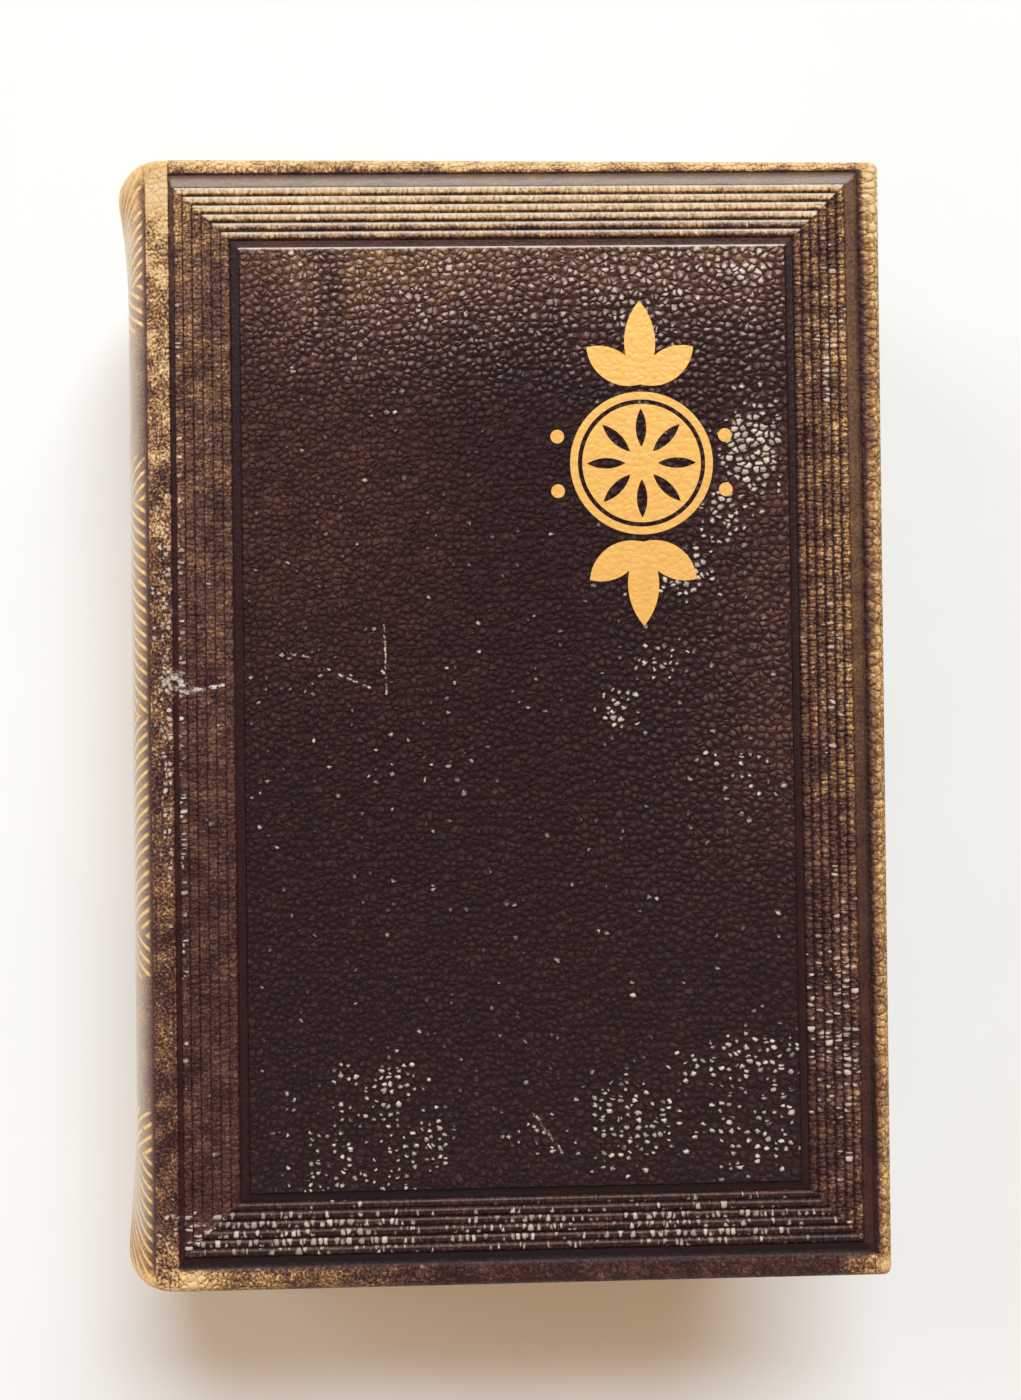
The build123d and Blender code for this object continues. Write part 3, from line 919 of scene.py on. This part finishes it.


# %% [markdown]
# ## Pebbled grain
# The hide is goatskin: small flat pebbles with fine creases between them, a little wider than
# tall. A Voronoi pattern on the flat hide gives the cells, and the distance to a cell's edge
# gives the creases. The group puts out a height for the bump, the crease, the tip of each pebble,
# a painted highlight on the brow of its head side, and a chance value for each pebble, so that
# wear can pick single pebbles.

# %% Grain group
def make_grain():
    """Pebbles with ragged tips and fine creases."""
    inputs = [("Place", "Vector", None), ("Pebble", "Float", 1.1), ("Spread", "Float", 0.0)]
    titles = ("Height", "Crease", "Tip", "Chance", "Fine", "Brow highlight")
    group, given, put = new_group("pebble_grain", inputs, [(title, "Float") for title in titles])
    place = given["Place"]
    shifted = vector(group, "MULTIPLY_ADD", shiver(group, place, 0.7, 2.0), (0.9, 0.9, 0.0), place)
    shifted = vector(group, "MULTIPLY_ADD", shiver(group, place, 2.3, 2.0), (0.4, 0.4, 0.0), shifted)
    squeezed = vector(group, "MULTIPLY", shifted, (0.93, 1.06, 0.0))
    scale = calc(group, "DIVIDE", 1.0, given["Pebble"])
    cell = {"Vector": squeezed, "Scale": scale, "Randomness": 0.95}
    centre = add_node(group, "TexVoronoi", cell, voronoi_dimensions="2D", feature="F1").outputs
    border = add_node(group, "TexVoronoi", cell, voronoi_dimensions="2D", feature="DISTANCE_TO_EDGE")
    to_edge = border.outputs["Distance"]
    random = add_node(group, "SeparateColor", {"Color": centre["Color"]}).outputs
    fine = clouds(group, place, 3.2, 3.0, 0.65)
    uneven = calc(group, "SUBTRACT", fine, 0.5)

    crease = step_up(group, to_edge, 0.0, 0.15, 1.0, 0.0)
    crease = calc(group, "MULTIPLY", crease, step_up(group, fine, 0.36, 0.6, 0.35, 1.0))
    dome = step_up(group, centre["Distance"], 0.0, 0.8, 1.0, 0.0)
    level = calc(group, "MULTIPLY_ADD", random["Red"], 0.3, 0.2)
    height = calc(group, "MULTIPLY_ADD", step_up(group, to_edge, 0.0, 0.24), level, dome)
    height = calc(group, "MULTIPLY_ADD", fine, 0.34, height)

    ragged = calc(group, "MULTIPLY_ADD", uneven, 0.6, centre["Distance"])
    size = calc(group, "ADD", calc(group, "MULTIPLY_ADD", random["Green"], 0.2, 0.12), given["Spread"])
    tip = step_up(group, calc(group, "SUBTRACT", ragged, size), -0.1, 0.08, 1.0, 0.0)
    paleness = calc(group, "MULTIPLY_ADD", random["Blue"], 0.65, 0.5)
    tip = product(group, tip, paleness, step_up(group, to_edge, 0.05, 0.18))

    # Painted highlight: a small bright arc on the head side of each pebble, where the window beyond the head
    # would catch it.
    off_centre = vector(group, "SUBTRACT", squeezed, centre["Position"])
    off_centre = add_node(group, "SeparateXYZ", {"Vector": off_centre}).outputs
    ahead = calc(group, "MULTIPLY_ADD", uneven, 0.5, off_centre["Y"])
    aside = step_up(group, calc(group, "ABSOLUTE", off_centre["X"]), 0.12, 0.48, 1.0, 0.15)
    shine = calc(group, "MULTIPLY_ADD", random["Green"], 0.9, 0.3)
    painted_brow_highlight = step_up(group, ahead, 0.0, 0.3)
    painted_brow_highlight = product(group, painted_brow_highlight, step_up(group, to_edge, 0.02, 0.14), aside, shine)
    made = (height, crease, tip, random["Red"], fine, painted_brow_highlight)
    for title, socket in zip(titles, made):
        group.links.new(socket, put[title])
    return group


grain = make_grain()
print("grain group with", len(grain.nodes), "nodes")


# %% [markdown]
# ## Rub-through
# Under the dark dye the hide is brown, and under that it is pale tan suede. This group turns a
# share of wear into those colours, broken up by soft noise and by the grain, because creases
# keep their dye longest. Leather and gilt foil both use it.

# %% Rub-through group
dye_stops = (
    (0.0, (0.026, 0.0064, 0.0066)), (0.18, (0.068, 0.0235, 0.0185)), (0.4, (0.15, 0.068, 0.043)),
    (0.62, (0.325, 0.165, 0.075)), (0.84, (0.71, 0.42, 0.158)), (1.0, (0.87, 0.61, 0.33)),
)


def make_rub():
    """Colours of the hide, from fresh dye to bare suede."""
    inputs = [("Place", "Vector", None), ("Wear", "Float", 0.0)]
    inputs += [("Crease", "Float", 0.0), ("Fleck", "Float", 0.5)]
    group, given, put = new_group("rub_through", inputs, [("Colour", "Color"), ("Bared", "Float")])
    cloud = clouds(group, given["Place"], 0.22, 5.0, 0.65)
    fleck = clouds(group, given["Place"], 2.2, 4.0, 0.75)
    broken = calc(group, "MULTIPLY_ADD", fleck, 2.3, calc(group, "MULTIPLY_ADD", cloud, 1.4, -1.85))
    amount = calc(group, "MULTIPLY", step_up(group, given["Wear"], 0.0, 0.45, 0.4, 1.0), given["Fleck"])
    worn = calc(group, "MULTIPLY_ADD", broken, amount, given["Wear"])
    worn = calc(group, "MULTIPLY_ADD", given["Crease"], -0.2, worn)
    ramp = add_node(group, "ValToRGB", {"Fac": worn})
    for position, _ in dye_stops[2:]:
        ramp.color_ramp.elements.new(position)
    for element, (position, colour) in zip(ramp.color_ramp.elements, dye_stops):
        element.position, element.color = position, (*colour, 1)
    group.links.new(ramp.outputs["Color"], put["Colour"])
    group.links.new(step_up(group, worn, 0.25, 0.8), put["Bared"])
    return group


rub = make_rub()
print("rub-through group with", len(rub.nodes), "nodes")


# %% [markdown]
# ## Scratches
# A scratch is a short line from one place on the flat hide to another. The group measures how
# far a point is from that line and breaks the line up where the grain dips.

# %% Scratch group
def make_scratch():
    """Mask of one scratch."""
    inputs = [("Place", "Vector", None), ("Start", "Vector", None)]
    inputs += [("Reach", "Vector", None), ("Width", "Float", 0.2)]
    group, given, put = new_group("scratch", inputs, [("Mask", "Float")])
    place, reach, width = given["Place"], given["Reach"], given["Width"]
    rough = vector(group, "SCALE", shiver(group, place, 1.6, 3.0), Scale=width)
    rough = vector(group, "MULTIPLY_ADD", rough, (4.0, 4.0, 0.0), place)
    offset = vector(group, "SUBTRACT", rough, given["Start"])
    along = vector(group, "DOT_PRODUCT", offset, reach)
    share = calc(group, "DIVIDE", along, vector(group, "DOT_PRODUCT", reach, reach))
    share = add_node(group, "Clamp", {"Value": share}).outputs[0]
    away = vector(group, "DISTANCE", offset, vector(group, "SCALE", reach, Scale=share))
    line = step_up(group, calc(group, "DIVIDE", away, width), 0.6, 1.4, 1.0, 0.0)
    gaps = step_up(group, clouds(group, place, 0.9, 3.0), 0.42, 0.56)
    group.links.new(calc(group, "MULTIPLY", line, gaps), put["Mask"])
    return group


scratch = make_scratch()
print("scratch group with", len(scratch.nodes), "nodes")


# %% [markdown]
# ## Leather
# The finish puts the groups together. Grooves and the stamped back of the spine are pressed
# smooth, so the grain fades there and a thin coat of gloss rises, and a painted grey sheen is
# mixed into their colour. Creases, tool lines and groove floors get painted shade. In worn
# patches the tips of chosen pebbles turn cream, the rims of the panel and ridges get painted
# highlights, and near the head the brows of the pebbles get a painted highlight. The spine
# carries gilt hatching, lines that lean one way and then the other, mirrored about two bare
# panels.

# %% Gilt hatching of the spine
hatch_pitch, hatch_lean = 2.0, 0.58
bare_panels = ((53.0, 10.0), (-51.5, 10.5))
hatch_turn, hatch_middle = 17.4, 1.2


def gilt_hatching(tree, from_joint, y, stamped, broken):
    """Mask of the gilt lines on the spine."""
    upper = calc(tree, "GREATER_THAN", y, hatch_middle)
    middle = calc(tree, "MULTIPLY_ADD", upper, bare_panels[0][0] - bare_panels[1][0], bare_panels[1][0])
    off = calc(tree, "SUBTRACT", y, middle)
    far = calc(tree, "SIGN", calc(tree, "SUBTRACT", calc(tree, "ABSOLUTE", off), hatch_turn))
    lean = calc(tree, "MULTIPLY", calc(tree, "SIGN", off), far)
    slant = calc(tree, "MULTIPLY_ADD", calc(tree, "MULTIPLY", lean, from_joint), hatch_lean, y)
    line = step_up(tree, calc(tree, "PINGPONG", slant, hatch_pitch / 2), 0.6, 0.76)
    for place, half in bare_panels:
        away = calc(tree, "ABSOLUTE", calc(tree, "SUBTRACT", y, place))
        line = calc(tree, "MULTIPLY", line, step_up(tree, away, half - 0.2, half + 0.2))
    return product(tree, line, step_up(tree, stamped, 0.6, 0.9), step_up(tree, broken, 0.28, 0.46))


# %% Leather finish
painted_sheen_grey, deep_shade = (0.42, 0.37, 0.33, 1), (0.011, 0.004, 0.004, 1)
painted_highlight_pink, cream_tips_and_highlights, gilt_ochre = (0.68, 0.51, 0.44, 1), (0.76, 0.64, 0.54, 1), (0.86, 0.56, 0.21, 1)
scratches = (
    ((-0.6, 6.6, 0), (0.9, -0.6, 0), 1.3), ((2.0, 4.7, 0), (5.8, 1.2, 0), 0.28),
    ((18.0, 10.8, 0), (5.0, -1.2, 0), 0.16), ((26.0, 7.2, 0), (5.0, -2.2, 0), 0.16),
    ((33.4, 15.0, 0), (0.2, -11.0, 0), 0.14), ((56.0, -63.0, 0), (4.6, -6.5, 0), 0.2),
)


def cream_marks_and_rim_highlights(tree, place, pebbles, crease, patchy):
    """Mask of cream: pebble tips rubbed bare in patches, scratches, and the painted rim highlights."""
    bare, grain_open, lines_and_shade = (carried(tree, title) for title in ("bare", "open", "lines_and_shade"))
    chance = calc(tree, "MULTIPLY_ADD", calc(tree, "SUBTRACT", patchy, 0.5), 0.6, pebbles["Chance"])
    picked = step_up(tree, calc(tree, "SUBTRACT", bare, chance), -0.06, 0.1)
    shown = step_up(tree, grain_open, 0.08, 0.2, 0.0, 0.8)
    on_crests = step_up(tree, lines_and_shade, 0.1, 0.6, 1.0, 0.0)
    in_panel = step_up(tree, grain_open, 0.82, 0.98, 1.0, 1.25)
    marks = product(tree, picked, pebbles["Tip"], shown, on_crests, in_panel)
    kept = calc(tree, "MULTIPLY_ADD", crease, -0.7, 0.85)
    for start, reach, width in scratches:
        line = {"Place": place, "Start": start, "Reach": reach, "Width": width}
        line = place_group(tree, scratch, line)["Mask"]
        marks = calc(tree, "MAXIMUM", marks, calc(tree, "MULTIPLY", line, kept))
    # Painted highlights: the rims of the panel and of the ridges are mixed towards cream.
    painted_rims = calc(tree, "MULTIPLY", carried(tree, "rim_highlight"), step_up(tree, patchy, 0.25, 0.45, 0.8, 1.2))
    return calc(tree, "MAXIMUM", marks, painted_rims)


def make_leather():
    """Dyed goatskin, rubbed, pressed and gilt, with painted shade, sheen and highlights."""
    finish, tree, shader = new_finish("worn_goatskin", Specular_IOR_Level=0.12, Coat_Roughness=0.28)
    place = carried(tree, "flat", "Vector")
    grain_open, gloss_and_sheen = carried(tree, "open"), carried(tree, "gloss_and_sheen")
    spine = add_node(tree, "SeparateXYZ", {"Vector": carried(tree, "spine", "Vector")}).outputs
    stamped = spine["Z"]
    patchy = clouds(tree, place, 0.35)

    spread = step_up(tree, carried(tree, "bare"), 0.6, 1.1, 0.0, 0.2)
    spread = calc(tree, "MULTIPLY", spread, step_up(tree, grain_open, 0.82, 0.98, 0.5, 1.0))
    pebble = {"Place": carried(tree, "grain", "Vector"), "Pebble": carried(tree, "pebble"), "Spread": spread}
    pebbles = place_group(tree, grain, pebble)
    crease = calc(tree, "MULTIPLY", pebbles["Crease"], grain_open)
    tone = product(tree, calc(tree, "SUBTRACT", pebbles["Chance"], 0.5), grain_open, 0.14)
    worn = {"Place": place, "Crease": crease, "Fleck": carried(tree, "fleck")}
    hide = place_group(tree, rub, {**worn, "Wear": calc(tree, "ADD", carried(tree, "wear_and_light"), tone)})

    # Painted sheen: polished grooves and the stamped back are mixed towards a pale grey.
    painted_sheen = calc(tree, "MULTIPLY", gloss_and_sheen, calc(tree, "MULTIPLY_ADD", stamped, -0.12, 0.6))
    colour = tint(tree, painted_sheen, hide["Colour"], painted_sheen_grey)
    # Painted shade: creases, tool lines and groove floors are mixed towards deep_shade.
    lines = calc(tree, "MULTIPLY", carried(tree, "lines_and_shade"), 0.8)
    dark = calc(tree, "MAXIMUM", calc(tree, "MULTIPLY", crease, 0.48), lines)
    colour = tint(tree, dark, colour, deep_shade)
    # Painted highlight: near the head the brows of the pebbles are mixed towards a pale pink.
    painted_brow_highlight = calc(tree, "MULTIPLY", pebbles["Brow highlight"], step_up(tree, patchy, 0.35, 0.65, 0.45, 1.0))
    colour = tint(tree, calc(tree, "MULTIPLY", carried(tree, "painted_glint"), painted_brow_highlight), colour, painted_highlight_pink)
    colour = tint(tree, cream_marks_and_rim_highlights(tree, place, pebbles, crease, patchy), colour, cream_tips_and_highlights)
    gilt = gilt_hatching(tree, spine["X"], spine["Y"], stamped, patchy)
    colour = tint(tree, gilt, colour, gilt_ochre)

    rough = calc(tree, "MULTIPLY_ADD", hide["Bared"], 0.36, 0.29)
    rough = calc(tree, "MULTIPLY_ADD", calc(tree, "SUBTRACT", pebbles["Fine"], 0.5), 0.3, rough)
    tooth = step_up(tree, stamped, 0.2, 0.8, 0.3, 0.08)
    height = calc(tree, "MULTIPLY", pebbles["Height"], grain_open)
    height = calc(tree, "MULTIPLY_ADD", clouds(tree, place, 2.4, 4.0, 0.7), tooth, height)
    wire(tree, shader, {
        "Base Color": colour, "Roughness": rough, "Metallic": calc(tree, "MULTIPLY", gilt, 0.4),
        "Coat Weight": gloss_and_sheen, "Normal": bumped(tree, height, 0.42),
    })
    return finish


dress(make_leather(), front_hide, back_hide)


# %% [markdown]
# ## Gilt ornament
# The ornament is gold leaf pressed into the cover with a hot stamp. Leaf is almost a paint:
# it follows the grain below and has pinholes.

# %% Gold leaf finish
def make_gold_leaf():
    """Gold leaf with pinholes, on the grain of the hide."""
    finish, tree, shader = new_finish("gold_leaf", Specular_IOR_Level=0.5)
    place = millimetres(tree)
    pebbles = place_group(tree, grain, {"Place": place, "Pebble": 1.12})
    patchy = clouds(tree, place, 0.5, 4.0, 0.65)
    leaf = tint(tree, patchy, (0.69, 0.335, 0.07, 1), (0.9, 0.5, 0.125, 1))
    worn = place_group(tree, rub, {"Place": place, "Wear": 0.3, "Crease": pebbles["Crease"]})
    thin = calc(tree, "MULTIPLY_ADD", pebbles["Fine"], 0.7, calc(tree, "MULTIPLY", patchy, 0.4))
    pinhole = step_up(tree, thin, 0.68, 0.76)
    wire(tree, shader, {
        "Base Color": tint(tree, calc(tree, "MULTIPLY", pinhole, 0.7), leaf, worn["Colour"]),
        "Roughness": calc(tree, "MULTIPLY_ADD", pebbles["Fine"], 0.3, 0.3),
        "Metallic": calc(tree, "MULTIPLY_ADD", pinhole, -0.35, 0.35),
        "Normal": bumped(tree, pebbles["Height"], 0.05, 0.5),
    })
    return finish


dress(make_gold_leaf(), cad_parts["front_ornament"])


# %% [markdown]
# ## Paper
# Leaves and endpapers are old rag paper: warm, browned in broad patches, with rusty foxing.
# The spots are shared. On the cut edges painted shade darkens the fine lines between single leaves.

# %% Foxing group and paper finishes
def make_foxing():
    """Rusty spots and broad browning."""
    outputs = [("Spots", "Float"), ("Browning", "Float")]
    group, given, put = new_group("foxing", [("Place", "Vector", None)], outputs)
    dots = add_node(group, "TexVoronoi", {"Vector": given["Place"], "Scale": 0.16}).outputs
    size = add_node(group, "SeparateColor", {"Color": dots["Color"]}).outputs["Red"]
    ragged = calc(group, "MULTIPLY_ADD", clouds(group, given["Place"], 0.9), 0.2, dots["Distance"])
    spots = step_up(group, calc(group, "MULTIPLY_ADD", size, -0.22, ragged), 0.0, 0.1, 1.0, 0.0)
    group.links.new(spots, put["Spots"])
    group.links.new(clouds(group, given["Place"], 0.03, 5.0), put["Browning"])
    return group


foxing = make_foxing()


def make_paper(name, place_of, leaf_gap_shade):
    """Aged paper, with painted shade in the fine lines between single leaves where it is cut."""
    finish, tree, shader = new_finish(name, Specular_IOR_Level=0.2)
    place = place_of(tree)
    age = place_group(tree, foxing, {"Place": place})
    colour = tint(tree, age["Browning"], (0.66, 0.54, 0.37, 1), (0.52, 0.39, 0.23, 1))
    colour = tint(tree, calc(tree, "MULTIPLY", age["Spots"], 0.45), colour, (0.3, 0.15, 0.06, 1))
    height = clouds(tree, place, 4.0, 4.0, 0.7)
    if leaf_gap_shade:
        stretched = vector(tree, "MULTIPLY", place, (0.04, 0.04, 5.5))
        height = clouds(tree, stretched, 1.0, 4.0, 0.75)
        # Painted shade: the low lines between single leaves are darkened.
        colour = tint(tree, step_up(tree, height, 0.35, 0.62, 0.75, 0.0), colour, (0.2, 0.125, 0.065, 1))
    wire(tree, shader, {
        "Base Color": colour, "Roughness": step_up(tree, height, 0.2, 0.8, 0.75, 0.95),
        "Normal": bumped(tree, height, 0.12, 0.6),
    })
    return finish


dress(make_paper("leaf_edges", millimetres, True), leaves)
dress(make_paper("aged_paper", lambda tree: carried(tree, "flat", "Vector"), False), *endpapers)


# %% [markdown]
# ## Thread, board, card and cloth
# The parts that show only from the ends get plain finishes: two colours of silk on the bands,
# grey board, brown spine card and pale mull cloth.

# %% Finishes of the inner parts
def make_thread():
    """Silk in two colours, a little soiled."""
    finish, tree, shader = new_finish("band_thread", Specular_IOR_Level=0.35)
    place = millimetres(tree)
    other = step_up(tree, calc(tree, "PINGPONG", carried(tree, "thread"), 1.0), 0.45, 0.55)
    soil = clouds(tree, place, 1.5)
    colour = tint(tree, other, (0.6, 0.47, 0.28, 1), (0.2, 0.05, 0.035, 1))
    colour = tint(tree, step_up(tree, soil, 0.4, 0.8, 0.0, 0.6), colour, (0.1, 0.06, 0.035, 1))
    fibre = add_node(tree, "TexWave", {"Vector": place, "Scale": 2.5, "Distortion": 3.0}).outputs["Fac"]
    wire(tree, shader, {
        "Base Color": colour, "Roughness": step_up(tree, fibre, 0.0, 1.0, 0.5, 0.75),
        "Normal": bumped(tree, fibre, 0.08, 0.4),
    })
    return finish


def make_stiff(name, light, dark, scale):
    """Board, card or cloth: two shades of one fibre and a little tooth."""
    finish, tree, shader = new_finish(name, Specular_IOR_Level=0.2)
    fibre = clouds(tree, millimetres(tree), scale, 5.0, 0.75)
    wire(tree, shader, {
        "Base Color": tint(tree, step_up(tree, fibre, 0.3, 0.7), dark, light),
        "Roughness": step_up(tree, fibre, 0.2, 0.8, 0.8, 0.95),
        "Normal": bumped(tree, fibre, 0.1, 0.5),
    })
    return finish


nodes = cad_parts
dress(make_thread(), *bands)
grey_board = make_stiff("grey_board", (0.3, 0.25, 0.19, 1), (0.19, 0.15, 0.11, 1), 1.2)
spine_card = make_stiff("spine_card", (0.3, 0.22, 0.14, 1), (0.2, 0.14, 0.085, 1), 1.5)
mull_cloth = make_stiff("mull_cloth", (0.5, 0.43, 0.32, 1), (0.33, 0.27, 0.19, 1), 3.0)
dress(grey_board, nodes["front_board"], nodes["back_board"])
dress(spine_card, nodes["spine_stiffener"])
dress(mull_cloth, nodes["spine_mull"])

# %% [markdown]
# ## Table, light and camera
# The book lies on a pale table. Soft daylight comes from a window beyond the head, high
# enough to put a sheen on the upper half of the cover. A small side window lifts the spine, and
# the room fills the shadows with a warm light. The camera and mirror-like reflections see that
# room as a white wall, which adds no light to the rest. The camera looks almost straight down,
# turned a little, as in the photograph.

# %% Table
table_mesh = bpy.data.meshes.new("table")
table_half = 20
table_corners = [(x * table_half, y * table_half, 0) for x, y in ((-1, -1), (1, -1), (1, 1), (-1, 1))]
table_mesh.from_pydata(table_corners, [], [(0, 1, 2, 3)])
table = bpy.data.objects.new("table", table_mesh)
bpy.context.collection.objects.link(table)
table_finish, tree, shader = new_finish("pale_table", Roughness=0.9, Specular_IOR_Level=0.1)
weave = clouds(tree, millimetres(tree), 0.03, 4.0)
wire(tree, shader, {"Base Color": tint(tree, weave, (0.91, 0.92, 0.915, 1), (0.95, 0.96, 0.955, 1))})
dress(table_finish, table)

# %% Light
world = bpy.data.worlds.new("room")
bpy.context.scene.world = world
world.use_nodes = True
tree = world.node_tree
fill = tree.nodes["Background"]
wire(tree, fill, {"Color": (1.0, 0.68, 0.43, 1), "Strength": 0.48})
wall = add_node(tree, "Background", {"Color": (1, 1, 1, 1), "Strength": 1.0})
rays = add_node(tree, "LightPath").outputs
seen = calc(tree, "MAXIMUM", rays["Is Camera Ray"], rays["Is Glossy Ray"])
seen = calc(tree, "MAXIMUM", seen, rays["Is Transmission Ray"])
room = add_node(tree, "MixShader", {0: seen, 1: fill.outputs[0], 2: wall.outputs[0]})
wire(tree, tree.nodes["World Output"], {"Surface": room.outputs[0]})


def add_window(name, width, height, energy, colour, location):
    """A soft lamp as wide and high as a window, turned to the book."""
    lamp = bpy.data.lights.new(name, "AREA")
    lamp.shape, lamp.size, lamp.size_y = "RECTANGLE", width, height
    lamp.energy, lamp.color = energy, colour
    window = bpy.data.objects.new(name, lamp)
    window.location = location
    aim = Vector((0, 0, 0.03)) - window.location
    window.rotation_euler = aim.to_track_quat("-Z", "Y").to_euler()
    bpy.context.collection.objects.link(window)
    print(name, round(aim.length, 2), "m away")


add_window("window", 4.0, 2.24, 344.0, (0.81, 1.0, 1.14), (0.9, 4.32, 3.6))
add_window("side_window", 1.0, 0.7, 10.0, (0.9, 1.0, 1.08), (-1.7, 1.0, 0.9))

# %% Camera
photo_height, focal_px = 1400, 1150
camera = bpy.data.cameras.new("camera")
camera.sensor_fit, camera.sensor_height = "VERTICAL", 36.0
camera.lens = focal_px / photo_height * camera.sensor_height
camera.clip_start, camera.clip_end = 0.01, 20
camera_object = bpy.data.objects.new("camera", camera)
camera_object.location = (-0.00085, 0.0002, 0.2238)
camera_object.rotation_euler = tuple(math.radians(turn) for turn in (0.805, -1.16, -0.86))
bpy.context.collection.objects.link(camera_object)
bpy.context.scene.camera = camera_object
bpy.context.scene.view_settings.view_transform = "Standard"
print("camera lens", round(camera.lens, 1), "mm")
